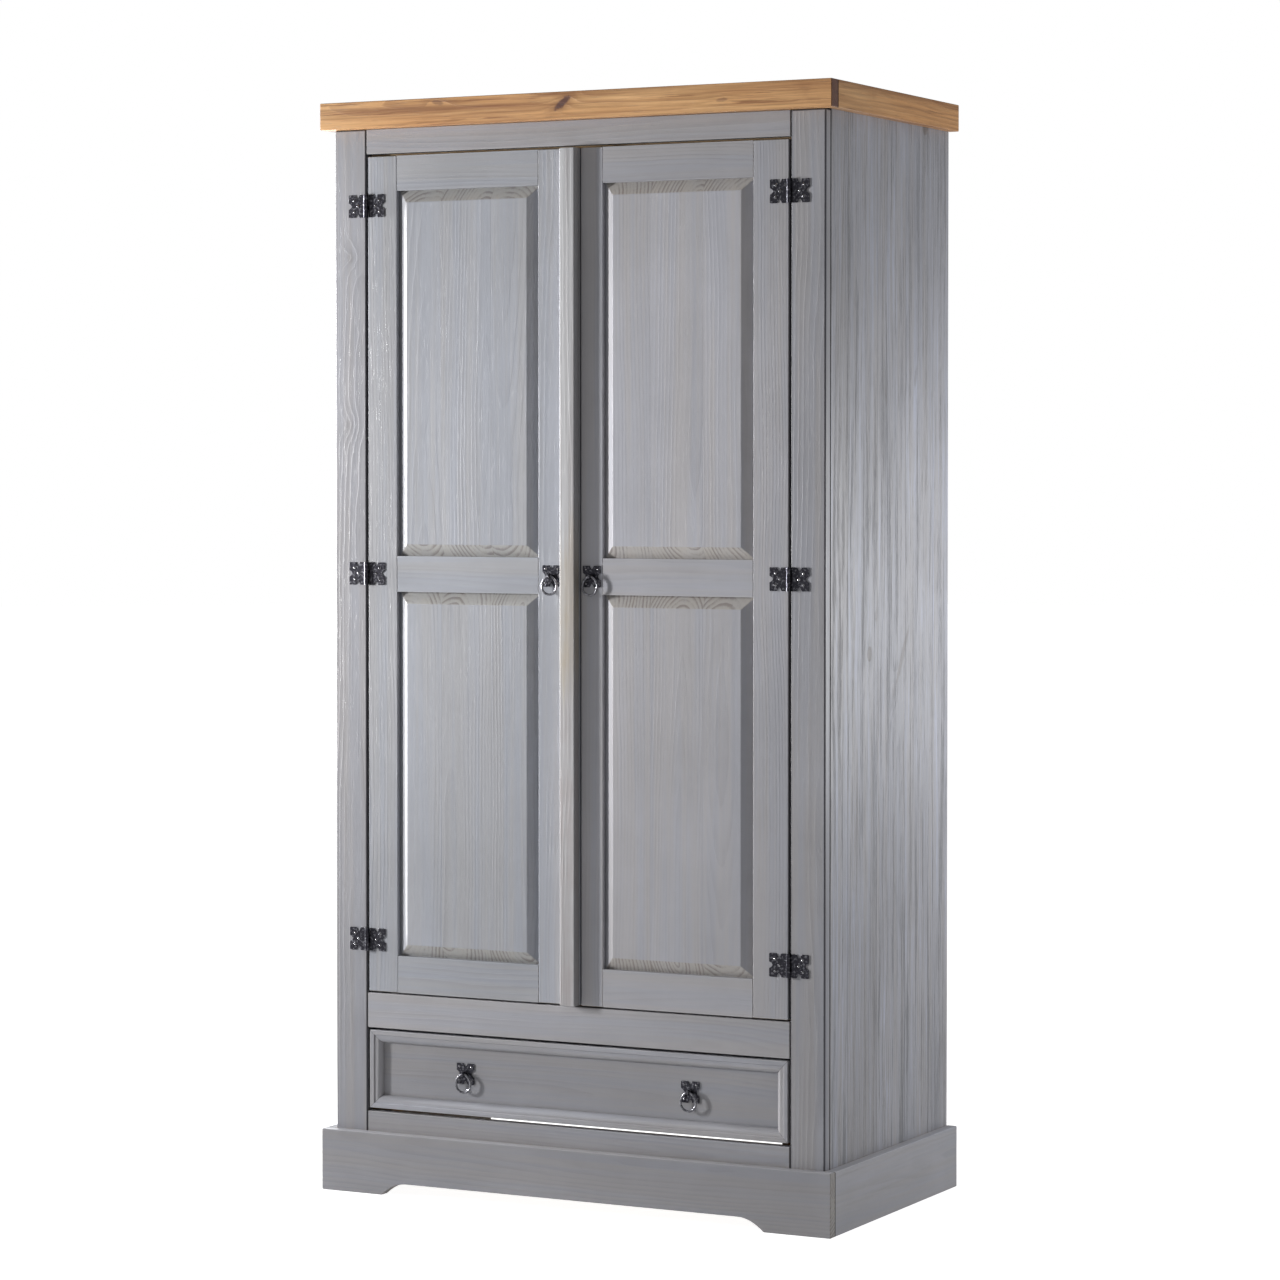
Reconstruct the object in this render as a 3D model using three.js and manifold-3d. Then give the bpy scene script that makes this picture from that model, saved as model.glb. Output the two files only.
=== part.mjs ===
// A free-standing pine armoire: a cupboard with two panelled doors over one drawer.
// Millimetres, +Z up. The front faces -Y, and the origin is on the floor under the middle.
import * as THREE from "three";
import { mergeVertices } from "three/addons/utils/BufferGeometryUtils.js";
import Module from "manifold-3d";

// ---- Driving dimensions -------------------------------------------------------------------

// Overall size
const overallWidth = 970;
const overallDepth = 530;
const overallHeight = 1880;

// Gap kept between fixed pieces that touch
const seam = 0.3;

// Planted boards: the plinth round the foot and the cornice round the top
const plantedStock = 19;
const plinthHeight = 106;
const corniceHeight = 46;
const corniceFrontStock = 25;
const topStock = 18;
const archRise = 21.5;
const archFootWidth = 121;
const archCurveLength = 48;

// Carcass
const sideStock = 19;
const frameStock = 20;
const faceStileWidth = 62.5;
const topRailShow = 43;
const middleRailHeight = 60.5;
const bottomRailShow = 34.4;
const bottomRailHidden = 66;
const floorStock = 18;
const doorStopHeight = 6.5;
const backStock = 8;
const backSetIn = 1;
const backLift = 60;
const backBoardCount = 10;
const backGroove = 1.5;

// Hanging rail
const hangingRailRadius = 12.5;
const hangingRailWall = 1.5;
const hangingRailDrop = 162;
const hangingRailBehindCentre = 10;

// Doors
const doorSideGap = 3.5;
const doorTopGap = 4.5;
const doorBottomGap = 3;
const meetingGap = 3;
const meetingOffset = 12.8;
const leftHingeStileWidth = 58;
const rightHingeStileWidth = 64.5;
const leftLockStileInner = 66;
const rightLockStileInner = 57;
const doorTopRailHeight = 60;
const doorMiddleRailHeight = 61.2;
const doorBottomRailHeight = 63.5;
const middleRailRaise = 2.4;
const coverStripWidth = 27.7;
const coverStripProud = 19;

// Door panels, held by a tongue in a groove round the frame
const tongueSetBack = 10;
const tongueStock = 6;
const tongueLength = 8;
const grooveSlack = 1;
const panelBevelWidth = 20;
const panelProud = 3;

// Drawer
const drawerFrontHeight = 135;
const drawerGapAbove = 4;
const drawerGapBelow = 5.6;
const drawerGapSide = 4.5;
const drawerFrontStock = 13;
const mouldingWidth = 22;
const mouldingStock = 13;
const mouldingFlat = 9;
const mouldingQuirk = 1.6;
const quirkChamfer = 0.4;
const mouldingRound = 1;
const mouldingLip = 1.2;
const drawerBoxInset = 9;
const drawerSideStock = 12;
const drawerSideLift = 4;
const drawerSideHeight = 120;
const drawerBoxLength = 425;
const drawerBottomStock = 5;
const drawerBottomRise = 9;
const drawerBottomGroove = 6;
const runnerLedge = 18;
const runnerReach = 16;
const runnerGuideHeight = 30;
const runnerSetBack = 12;
const runnerClearance = 1;

// Butterfly hinges, laid on the face over the gap beside each door
const hingeHeight = 39;
const hingeLeafLength = 35.5;
const hingeLeafStock = 1.4;
const hingeBarrelRadius = 4;
const hingePinRadius = 1.6;
const hingePinClearance = 0.4;
const hingeKnuckleHeight = 12.8;
const knuckleOverlap = 1;
const hingeFromDoorTop = 84.5;
const hingeFromDoorBottom = 89.5;
// The notches between a leaf's lobes, as shares of its length, its height and the notch's mouth
const leafNotchStart = 0.39;
const leafNotchEnd = 0.64;
const leafNotchDepth = 0.34;
const leafMouth = 0.14;
const leafMouthDepth = 2.2;
const lobeRound = 2;

// Ring pulls: a lobed plate with an eye, and a ring that hangs in the eye
const plateWidth = 34;
const plateHeight = 36;
const plateStock = 1.5;
// The notches between a plate's lobes, as shares of its width or height and the notch's mouth
const plateTopMouth = 0.12;
const plateTopMouthDepth = 2.8;
const plateSideMouth = 0.18;
const plateSideMouthDepth = 1.7;
const eyeRadius = 5.2;
const eyeHoleRadius = 2.6;
const eyeWidth = 3.6;
const eyeReach = 9;
const eyeRound = 0.8;
const eyeNeckInset = 0.2;
const eyeNeckSink = 0.5;
const eyeNeckHalfHeight = 2.2;
const ringWireRadius = 2;
const ringWidth = 32;
const ringHeight = 35;
const ringTaper = 0.1;
const leftPullFromCentre = 40;
const rightPullFromCentre = 37;
const drawerPullSpacing = 430;
const drawerPullRaise = 2;

// Facets of the curved surfaces
const archSegments = 8;
const notchSegments = 5;
const ovoloSteps = 6;
const tubeSides = 24;
const barrelSides = 20;
const pinSides = 16;
const eyeSides = 20;
const ringSegments = 36;
const wireSides = 10;

// ---- Levels and faces that follow from them -----------------------------------------------

const halfWidth = overallWidth / 2;
const backY = overallDepth / 2;
const frontY = backY - overallDepth;
const carcassHalf = halfWidth - plantedStock;
const sideInner = carcassHalf - sideStock;
const faceY = frontY + plantedStock;
const frameBackY = faceY + frameStock;
const openingHalf = carcassHalf - faceStileWidth;
const backPanelFrontY = backY - backSetIn - backStock;

const corniceBottom = overallHeight - corniceHeight;
const topUnderside = overallHeight - topStock;
const topRailBottom = corniceBottom - topRailShow;
const bottomRailTop = plinthHeight + bottomRailShow;
const drawerBottomZ = bottomRailTop + drawerGapBelow;
const drawerTopZ = drawerBottomZ + drawerFrontHeight;
const middleRailBottom = drawerTopZ + drawerGapAbove;
const middleRailTop = middleRailBottom + middleRailHeight;
const doorBottomZ = middleRailTop + doorBottomGap;
const doorTopZ = topRailBottom - doorTopGap;
const doorHeight = doorTopZ - doorBottomZ;
const floorTop = doorBottomZ + doorStopHeight;
const middleRailCentre = (doorBottomZ + doorTopZ) / 2 + middleRailRaise;
const doorOuter = openingHalf - doorSideGap;
const panelBackSetBack = tongueSetBack + tongueStock;
const grooveDepth = tongueLength + grooveSlack;

const hingeAxisX = openingHalf - doorSideGap / 2;
const hingeAxisY = faceY - seam - hingeBarrelRadius;

// ---- Finishes -----------------------------------------------------------------------------

const greyWash = { color: 0x9a9ba0, roughness: 0.55, metalness: 0 };
const waxedPine = { color: 0xb9854f, roughness: 0.5, metalness: 0 };
const barePine = { color: 0xcfae84, roughness: 0.7, metalness: 0 };
const blackIron = { color: 0x26262b, roughness: 0.4, metalness: 0.8 };
const brightSteel = { color: 0xb8babd, roughness: 0.3, metalness: 1 };

// ---- Helpers ------------------------------------------------------------------------------

const manifold = await Module();
manifold.setup();

// A closed geometry as a solid that can be joined and cut.
function toSolid(geometry) {
  const bare = geometry.clone();
  bare.deleteAttribute("normal");
  bare.deleteAttribute("uv");
  const merged = mergeVertices(bare, 1e-3);
  return new manifold.Manifold(
    new manifold.Mesh({
      numProp: 3,
      vertProperties: merged.attributes.position.array,
      triVerts: new Uint32Array(merged.index.array),
    }),
  );
}

// A solid as a geometry again.
function toGeometry(solid) {
  const mesh = solid.getMesh();
  const geometry = new THREE.BufferGeometry();
  geometry.setAttribute("position", new THREE.BufferAttribute(mesh.vertProperties, 3));
  geometry.setIndex(new THREE.BufferAttribute(mesh.triVerts, 1));
  geometry.computeVertexNormals();
  return geometry;
}

function joined(...geometries) {
  const [first, ...others] = geometries.map(toSolid);
  return toGeometry(others.reduce((whole, piece) => whole.add(piece), first));
}

function addMesh(parent, name, geometry, finish) {
  const mesh = new THREE.Mesh(geometry, new THREE.MeshStandardMaterial(finish));
  mesh.name = name;
  parent.add(mesh);
  return mesh;
}

function addGroup(parent, x = 0, y = 0, z = 0) {
  const group = new THREE.Group();
  group.position.set(x, y, z);
  parent.add(group);
  return group;
}

// A block between two values on each axis.
function block([x0, x1], [y0, y1], [z0, z1]) {
  const geometry = new THREE.BoxGeometry(x1 - x0, y1 - y0, z1 - z0);
  return geometry.translate((x0 + x1) / 2, (y0 + y1) / 2, (z0 + z1) / 2);
}

// A rectangular board, its mesh placed at its own centre.
function addBoard(parent, name, [x0, x1], [y0, y1], [z0, z1], finish) {
  const geometry = new THREE.BoxGeometry(x1 - x0, y1 - y0, z1 - z0);
  const mesh = addMesh(parent, name, geometry, finish);
  mesh.position.set((x0 + x1) / 2, (y0 + y1) / 2, (z0 + z1) / 2);
  return mesh;
}

// The span from a to b on the side of the middle plane that the sign picks, low value first.
function sideSpan(sign, a, b) {
  return sign < 0 ? [-b, -a] : [a, b];
}

function shapeOf(points) {
  return new THREE.Shape(points.map(([x, y]) => new THREE.Vector2(x, y)));
}

// A profile of [radius, height] points turned about Y.
function turned(profile, sides) {
  return new THREE.LatheGeometry(profile.map(([r, y]) => new THREE.Vector2(r, y)), sides);
}

function extruded(shape, depth, curveSegments = archSegments) {
  return new THREE.ExtrudeGeometry(shape, { depth, curveSegments, bevelEnabled: false });
}

// An outline drawn in X and Z, given thickness from y0 back to y1.
function extrudedBack(shape, [y0, y1], curveSegments = archSegments) {
  const geometry = extruded(shape, y1 - y0, curveSegments);
  return geometry.rotateX(Math.PI / 2).translate(0, y1, 0);
}

// A solid of rectangles in planes across Y, one for each [inset, y], from the back to the front.
// An open row of them is capped at both ends; a closed row makes a mitred frame.
function rectangleLoft(width, height, sections, closed = false) {
  const corners = [
    [-1, -1],
    [1, -1],
    [1, 1],
    [-1, 1],
  ];
  const vertices = sections.flatMap(([inset, y]) =>
    corners.flatMap(([cx, cz]) => [cx * (width / 2 - inset), y, cz * (height / 2 - inset)]),
  );
  const faces = [];
  const last = sections.length - 1;
  for (let i = 0; i < (closed ? sections.length : last); i++) {
    const rear = i * 4;
    const fore = ((i + 1) % sections.length) * 4;
    for (let c = 0; c < 4; c++) {
      const d = (c + 1) % 4;
      faces.push(rear + c, rear + d, fore + d, rear + c, fore + d, fore + c);
    }
  }
  if (!closed) {
    const front = last * 4;
    faces.push(0, 2, 1, 0, 3, 2);
    faces.push(front, front + 1, front + 2, front, front + 2, front + 3);
  }
  const geometry = new THREE.BufferGeometry();
  geometry.setAttribute("position", new THREE.Float32BufferAttribute(vertices, 3));
  geometry.setIndex(faces);
  geometry.computeVertexNormals();
  return geometry;
}

// ---- Carcass ------------------------------------------------------------------------------

function addSides(parent) {
  for (const [side, sign] of [["left", -1], ["right", 1]]) {
    const panelX = sideSpan(sign, sideInner, carcassHalf);
    const stileX = sideSpan(sign, openingHalf, carcassHalf);
    addBoard(parent, `side_panel_${side}`, panelX, [frameBackY + seam, backY],
      [0, topUnderside - seam], greyWash);
    addBoard(parent, `face_stile_${side}`, stileX, [faceY, frameBackY],
      [0, corniceBottom - seam], greyWash);
  }
}

function addFaceRails(parent) {
  const railX = [seam - openingHalf, openingHalf - seam];
  const railY = [faceY, frameBackY];
  const levels = {
    face_rail_top: [topRailBottom, corniceBottom - seam],
    face_rail_middle: [middleRailBottom, middleRailTop],
    face_rail_bottom: [plinthHeight - bottomRailHidden, bottomRailTop],
  };
  for (const [name, railZ] of Object.entries(levels)) {
    addBoard(parent, name, railX, railY, railZ, greyWash);
  }
}

// The cornice: a thick front board that stands on the face frame, and a board along each side.
function addTop(parent) {
  const corniceZ = [corniceBottom, overallHeight];
  const innerY = frontY + corniceFrontStock + seam;
  addBoard(parent, "cornice_front", [-halfWidth, halfWidth],
    [frontY, frontY + corniceFrontStock], corniceZ, waxedPine);
  for (const [side, sign] of [["left", -1], ["right", 1]]) {
    addBoard(parent, `cornice_${side}`, sideSpan(sign, carcassHalf + seam, halfWidth),
      [innerY, backY], corniceZ, waxedPine);
  }
  addBoard(parent, "top_panel", [-carcassHalf, carcassHalf], [innerY, backY],
    [topUnderside, overallHeight], waxedPine);
}

// The front plinth board, with a low arch cut between two feet.
function plinthFrontShape() {
  const foot = halfWidth - archFootWidth;
  const shoulder = foot - archCurveLength;
  const shape = new THREE.Shape();
  shape.moveTo(-halfWidth, 0);
  shape.lineTo(-foot, 0);
  shape.quadraticCurveTo(-(foot + shoulder) / 2, archRise, -shoulder, archRise);
  shape.lineTo(shoulder, archRise);
  shape.quadraticCurveTo((foot + shoulder) / 2, archRise, foot, 0);
  shape.lineTo(halfWidth, 0);
  shape.lineTo(halfWidth, plinthHeight);
  shape.lineTo(-halfWidth, plinthHeight);
  shape.closePath();
  return shape;
}

function addPlinth(parent) {
  addMesh(parent, "plinth_front", extrudedBack(plinthFrontShape(), [frontY, faceY - seam]), greyWash);
  for (const [side, sign] of [["left", -1], ["right", 1]]) {
    addBoard(parent, `plinth_${side}`, sideSpan(sign, carcassHalf + seam, halfWidth),
      [faceY, backY], [0, plinthHeight], greyWash);
  }
}

// The back: upright boards with a V joint between each two, on both faces.
function addBack(parent) {
  const half = sideInner - seam;
  const boardWidth = (2 * half) / backBoardCount;
  const y0 = backPanelFrontY;
  const y1 = y0 + backStock;
  const front = [[-half, y0]];
  const rear = [[half, y1]];
  for (let i = 1; i < backBoardCount; i++) {
    const x = -half + i * boardWidth;
    front.push([x - backGroove, y0], [x, y0 + backGroove], [x + backGroove, y0]);
    rear.push([-x + backGroove, y1], [-x, y1 - backGroove], [-x - backGroove, y1]);
  }
  const outline = [...front, [half, y0], ...rear, [-half, y1]];
  const height = topUnderside - seam - backLift;
  const mesh = addMesh(parent, "back_panel", extruded(shapeOf(outline), height), greyWash);
  mesh.position.z = backLift;
}

// The cupboard floor stands a little above the doors' lower edge, so they close against it.
function addFloor(parent) {
  addBoard(parent, "cabinet_floor", [seam - sideInner, sideInner - seam],
    [frameBackY + seam, backPanelFrontY - seam], [floorTop - floorStock, floorTop], greyWash);
}

function addHangingRail(parent) {
  const length = 2 * (sideInner - seam);
  const bore = hangingRailRadius - hangingRailWall;
  const profile = [
    [bore, 0],
    [hangingRailRadius, 0],
    [hangingRailRadius, length],
    [bore, length],
    [bore, 0],
  ];
  const geometry = turned(profile, tubeSides);
  geometry.translate(0, -length / 2, 0).rotateZ(Math.PI / 2);
  const rail = addMesh(parent, "hanging_rail", geometry, brightSteel);
  rail.position.set(0, hangingRailBehindCentre, topUnderside - hangingRailDrop);
}

// ---- Drawer -------------------------------------------------------------------------------

const drawerFrontHalf = openingHalf - drawerGapSide;
const drawerBoxHalf = drawerFrontHalf - drawerBoxInset;
const drawerSideBottom = drawerBottomZ + drawerSideLift;
const drawerFieldY = faceY + mouldingStock;
const drawerFrontBackY = drawerFieldY + drawerFrontStock;
const drawerBoxY = [drawerFrontBackY + seam, drawerFrontBackY + seam + drawerBoxLength];

// Each runner is an L: a ledge that carries the drawer's side, and a guide beside it.
function addRunners(parent) {
  const ledgeTop = drawerSideBottom - seam;
  const guideX = drawerBoxHalf + runnerClearance;
  const ledgeX = drawerBoxHalf - runnerReach;
  const wallX = sideInner - seam;
  const runnerY = [frameBackY + runnerSetBack, backPanelFrontY - seam];
  for (const [side, sign] of [["left", -1], ["right", 1]]) {
    const outline = [
      [sign * ledgeX, ledgeTop - runnerLedge],
      [sign * wallX, ledgeTop - runnerLedge],
      [sign * wallX, ledgeTop + runnerGuideHeight],
      [sign * guideX, ledgeTop + runnerGuideHeight],
      [sign * guideX, ledgeTop],
      [sign * ledgeX, ledgeTop],
    ];
    addMesh(parent, `drawer_runner_${side}`, extrudedBack(shapeOf(outline), runnerY), barePine);
  }
}

// The moulding's section from its outer edge inwards: a flat band, a quirk and an ovolo.
function mouldingSections(backY0) {
  const ovoloStart = mouldingFlat + mouldingQuirk / 2;
  const ovoloWidth = mouldingWidth - ovoloStart;
  const ovoloDepth = mouldingStock - mouldingQuirk - mouldingLip;
  const sections = [
    [0, backY0],
    [0, faceY + mouldingRound],
    [mouldingRound, faceY],
    [mouldingFlat - mouldingRound, faceY],
    [mouldingFlat, faceY + mouldingRound],
    [mouldingFlat, faceY + mouldingQuirk + quirkChamfer],
    [ovoloStart, faceY + mouldingQuirk],
  ];
  for (let i = 1; i <= ovoloSteps; i++) {
    const angle = (i / ovoloSteps) * (Math.PI / 2);
    sections.push([
      ovoloStart + ovoloWidth * Math.sin(angle),
      faceY + mouldingQuirk + ovoloDepth * (1 - Math.cos(angle)),
    ]);
  }
  sections.push([mouldingWidth, backY0]);
  return sections;
}

function addDrawerFront(parent) {
  const centreZ = (drawerBottomZ + drawerTopZ) / 2;
  addBoard(parent, "drawer_front", [-drawerFrontHalf, drawerFrontHalf],
    [drawerFieldY, drawerFrontBackY], [drawerBottomZ, drawerTopZ], greyWash);
  const sections = mouldingSections(drawerFieldY - seam);
  const frame = rectangleLoft(2 * drawerFrontHalf, drawerFrontHeight, sections, true);
  addMesh(parent, "drawer_moulding", frame, greyWash).position.z = centreZ;
}

// The drawer's sides are grooved for its bottom, and its back stands on the bottom.
function addDrawerBox(parent) {
  const inner = drawerBoxHalf - drawerSideStock;
  const grooveX = inner + drawerBottomGroove;
  const sideTop = drawerSideBottom + drawerSideHeight;
  const grooveZ = drawerSideBottom + drawerBottomRise;
  const grooveTop = grooveZ + drawerBottomStock + 2 * seam;
  for (const [side, sign] of [["left", -1], ["right", 1]]) {
    const outline = [
      [sign * inner, drawerSideBottom],
      [sign * drawerBoxHalf, drawerSideBottom],
      [sign * drawerBoxHalf, sideTop],
      [sign * inner, sideTop],
      [sign * inner, grooveTop],
      [sign * grooveX, grooveTop],
      [sign * grooveX, grooveZ],
      [sign * inner, grooveZ],
    ];
    addMesh(parent, `drawer_side_${side}`, extrudedBack(shapeOf(outline), drawerBoxY), barePine);
  }
  const bottomTop = grooveZ + seam + drawerBottomStock;
  const backX = [seam - inner, inner - seam];
  addBoard(parent, "drawer_bottom", [2 * seam - grooveX, grooveX - 2 * seam], drawerBoxY,
    [grooveZ + seam, bottomTop], barePine);
  addBoard(parent, "drawer_back", backX, [drawerBoxY[1] - drawerSideStock, drawerBoxY[1]],
    [bottomTop + seam, sideTop], barePine);
}

// ---- Doors --------------------------------------------------------------------------------

// The section of a frame member in [across, depth]: a groove is cut in each edge that is named.
function groovedSection(halfAcross, grooveLow, grooveHigh) {
  const y0 = faceY;
  const y1 = faceY + frameStock;
  const g0 = faceY + tongueSetBack - seam;
  const g1 = faceY + panelBackSetBack + seam;
  const floorOf = halfAcross - grooveDepth;
  const low = grooveLow ? [[-halfAcross, g1], [-floorOf, g1], [-floorOf, g0], [-halfAcross, g0]] : [];
  const high = grooveHigh ? [[halfAcross, g0], [floorOf, g0], [floorOf, g1], [halfAcross, g1]] : [];
  return [[-halfAcross, y0], [halfAcross, y0], ...high, [halfAcross, y1], [-halfAcross, y1], ...low];
}

function doorStile(width, grooveOnLeft) {
  return extruded(shapeOf(groovedSection(width / 2, grooveOnLeft, !grooveOnLeft)), doorHeight);
}

// A rail lies across the door, with a stub tenon at each end in the stiles' grooves.
function doorRail(length, height, grooveBelow, grooveAbove) {
  const bodyHalf = length / 2 - seam;
  const tenonHalf = length / 2 + tongueLength;
  const section = groovedSection(height / 2, grooveBelow, grooveAbove);
  const mirrored = section.map(([across, depth]) => [-across, depth]);
  const body = extruded(shapeOf(mirrored), 2 * bodyHalf).translate(0, 0, -bodyHalf).rotateY(Math.PI / 2);
  const lowCut = grooveBelow ? grooveDepth : 0;
  const highCut = grooveAbove ? grooveDepth : 0;
  const tenon = block([-tenonHalf, tenonHalf],
    [faceY + tongueSetBack, faceY + panelBackSetBack],
    [lowCut - height / 2, height / 2 - highCut]);
  return joined(body, tenon);
}

// A raised panel: a flat field, a bevel all round it, and a tongue that sits in the grooves.
function doorPanel(width, height) {
  const tongueFace = faceY + tongueSetBack;
  const sections = [
    [0, faceY + panelBackSetBack],
    [0, tongueFace],
    [tongueLength, tongueFace],
    [tongueLength + panelBevelWidth, faceY - panelProud],
  ];
  return rectangleLoft(width + 2 * tongueLength, height + 2 * tongueLength, sections);
}

function addDoor(parent, side, sign, hingeStileWidth, lockStileInner) {
  const name = (piece) => `${side}_door_${piece}`;
  const inner = doorOuter - hingeStileWidth;
  const lockEdge = sign < 0 ? meetingOffset : meetingOffset + meetingGap;
  const lockWidth = sign < 0 ? lockStileInner + lockEdge : lockStileInner - lockEdge;
  const lockX = sign < 0 ? (lockEdge - lockStileInner) / 2 : (lockEdge + lockStileInner) / 2;
  const hingeStile = doorStile(hingeStileWidth, sign > 0);
  const lockStile = doorStile(lockWidth, sign < 0);
  addMesh(parent, name("hinge_stile"), hingeStile, greyWash)
    .position.set(sign * (doorOuter - hingeStileWidth / 2), 0, doorBottomZ);
  addMesh(parent, name("lock_stile"), lockStile, greyWash).position.set(lockX, 0, doorBottomZ);

  const openingWidth = inner - lockStileInner;
  const centreX = (sign * (inner + lockStileInner)) / 2;
  const middleLow = middleRailCentre - doorMiddleRailHeight / 2;
  const middleHigh = middleRailCentre + doorMiddleRailHeight / 2;
  const lowerEdge = doorBottomZ + doorBottomRailHeight;
  const upperEdge = doorTopZ - doorTopRailHeight;
  const rails = [
    ["bottom_rail", doorBottomZ, lowerEdge, false, true],
    ["middle_rail", middleLow, middleHigh, true, true],
    ["top_rail", upperEdge, doorTopZ, true, false],
  ];
  for (const [piece, z0, z1, grooveBelow, grooveAbove] of rails) {
    addMesh(parent, name(piece), doorRail(openingWidth, z1 - z0, grooveBelow, grooveAbove), greyWash)
      .position.set(centreX, 0, (z0 + z1) / 2);
  }
  const panels = [
    ["lower_panel", lowerEdge, middleLow],
    ["upper_panel", middleHigh, upperEdge],
  ];
  for (const [piece, z0, z1] of panels) {
    addMesh(parent, name(piece), doorPanel(openingWidth - 2 * seam, z1 - z0 - 2 * seam), greyWash)
      .position.set(centreX, 0, (z0 + z1) / 2);
  }
}

// The cover strip is fixed to the left door, its right edge flush with that door's edge.
function addCoverStrip(parent) {
  addBoard(parent, "left_door_cover_strip", [meetingOffset - coverStripWidth, meetingOffset],
    [faceY - coverStripProud, faceY - seam], [doorBottomZ, doorTopZ], greyWash);
}

// ---- Hinges -------------------------------------------------------------------------------

// Half of a hinge's outline, from its barrel outwards: straight by the barrel, a notch above
// and below, then two square lobes with a round notch between them.
function leafShape(sign, start) {
  const top = hingeHeight / 2;
  const end = hingeLeafLength;
  const neck = end * leafNotchStart;
  const lobe = end * leafNotchEnd;
  const notchDepth = hingeHeight * leafNotchDepth;
  const corner = lobeRound;
  const mouth = hingeHeight * leafMouth;
  const x = (value) => sign * value;
  const shape = new THREE.Shape();
  shape.moveTo(x(start), top);
  shape.lineTo(x(neck), top);
  shape.quadraticCurveTo(x((neck + lobe) / 2), top - notchDepth, x(lobe), top);
  shape.lineTo(x(end - corner), top);
  shape.quadraticCurveTo(x(end), top, x(end), top - corner);
  shape.lineTo(x(end), mouth);
  shape.quadraticCurveTo(x(end - leafMouthDepth * mouth), 0, x(end), -mouth);
  shape.lineTo(x(end), corner - top);
  shape.quadraticCurveTo(x(end), -top, x(end - corner), -top);
  shape.lineTo(x(lobe), -top);
  shape.quadraticCurveTo(x((neck + lobe) / 2), notchDepth - top, x(neck), -top);
  shape.lineTo(x(start), -top);
  shape.closePath();
  return shape;
}

function upright(radius, z0, z1, sides) {
  const geometry = new THREE.CylinderGeometry(radius, radius, z1 - z0, sides);
  return geometry.rotateX(Math.PI / 2).translate(0, 0, (z0 + z1) / 2);
}

// A hinge leaf about the barrel's own axis. The frame's leaf has the two outer knuckles and the
// pin; the door's leaf has the middle knuckle, bored to turn on the pin.
function hingeLeaf(sign, onDoor) {
  const top = hingeHeight / 2;
  const knuckle = hingeKnuckleHeight / 2;
  const plateY = [hingeBarrelRadius - hingeLeafStock, hingeBarrelRadius];
  const plateStart = hingeBarrelRadius + 2 * seam;
  const spans = onDoor ? [[-knuckle, knuckle]] : [[-top, -knuckle - seam], [knuckle + seam, top]];
  const pieces = [extrudedBack(leafShape(sign, plateStart), plateY, notchSegments)];
  for (const [z0, z1] of spans) {
    pieces.push(upright(hingeBarrelRadius, z0, z1, barrelSides));
    pieces.push(block(sideSpan(sign, 0, plateStart + knuckleOverlap), plateY, [z0, z1]));
  }
  if (!onDoor) {
    pieces.push(upright(hingePinRadius, -top, top, pinSides));
    return joined(...pieces);
  }
  const bore = toSolid(upright(hingePinRadius + hingePinClearance, -top, top, pinSides));
  return toGeometry(toSolid(joined(...pieces)).subtract(bore));
}

function addHinges(frameParent, doorParent, side, sign) {
  const levels = {
    upper: doorTopZ - hingeFromDoorTop,
    middle: middleRailCentre,
    lower: doorBottomZ + hingeFromDoorBottom,
  };
  for (const [level, z] of Object.entries(levels)) {
    const leaves = [
      [frameParent, "frame_leaf", hingeLeaf(sign, false)],
      [doorParent, "door_leaf", hingeLeaf(-sign, true)],
    ];
    for (const [parent, leaf, geometry] of leaves) {
      addMesh(parent, `${side}_hinge_${level}_${leaf}`, geometry, blackIron)
        .position.set(sign * hingeAxisX, hingeAxisY, z);
    }
  }
}

// ---- Ring pulls ---------------------------------------------------------------------------

// A plate with four square lobes, notched above, below and at the sides.
function plateShape() {
  const w = plateWidth / 2;
  const h = plateHeight / 2;
  const corner = lobeRound;
  const topMouth = plateWidth * plateTopMouth;
  const sideMouth = plateHeight * plateSideMouth;
  const topFloor = h - plateTopMouthDepth * topMouth;
  const sideFloor = w - plateSideMouthDepth * sideMouth;
  const shape = new THREE.Shape();
  shape.moveTo(w, sideMouth);
  shape.lineTo(w, h - corner);
  shape.quadraticCurveTo(w, h, w - corner, h);
  shape.lineTo(topMouth, h);
  shape.quadraticCurveTo(0, topFloor, -topMouth, h);
  shape.lineTo(corner - w, h);
  shape.quadraticCurveTo(-w, h, -w, h - corner);
  shape.lineTo(-w, sideMouth);
  shape.quadraticCurveTo(-sideFloor, 0, -w, -sideMouth);
  shape.lineTo(-w, corner - h);
  shape.quadraticCurveTo(-w, -h, corner - w, -h);
  shape.lineTo(-topMouth, -h);
  shape.quadraticCurveTo(0, -topFloor, topMouth, -h);
  shape.lineTo(w - corner, -h);
  shape.quadraticCurveTo(w, -h, w, corner - h);
  shape.lineTo(w, -sideMouth);
  shape.quadraticCurveTo(sideFloor, 0, w, sideMouth);
  return shape;
}

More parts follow.
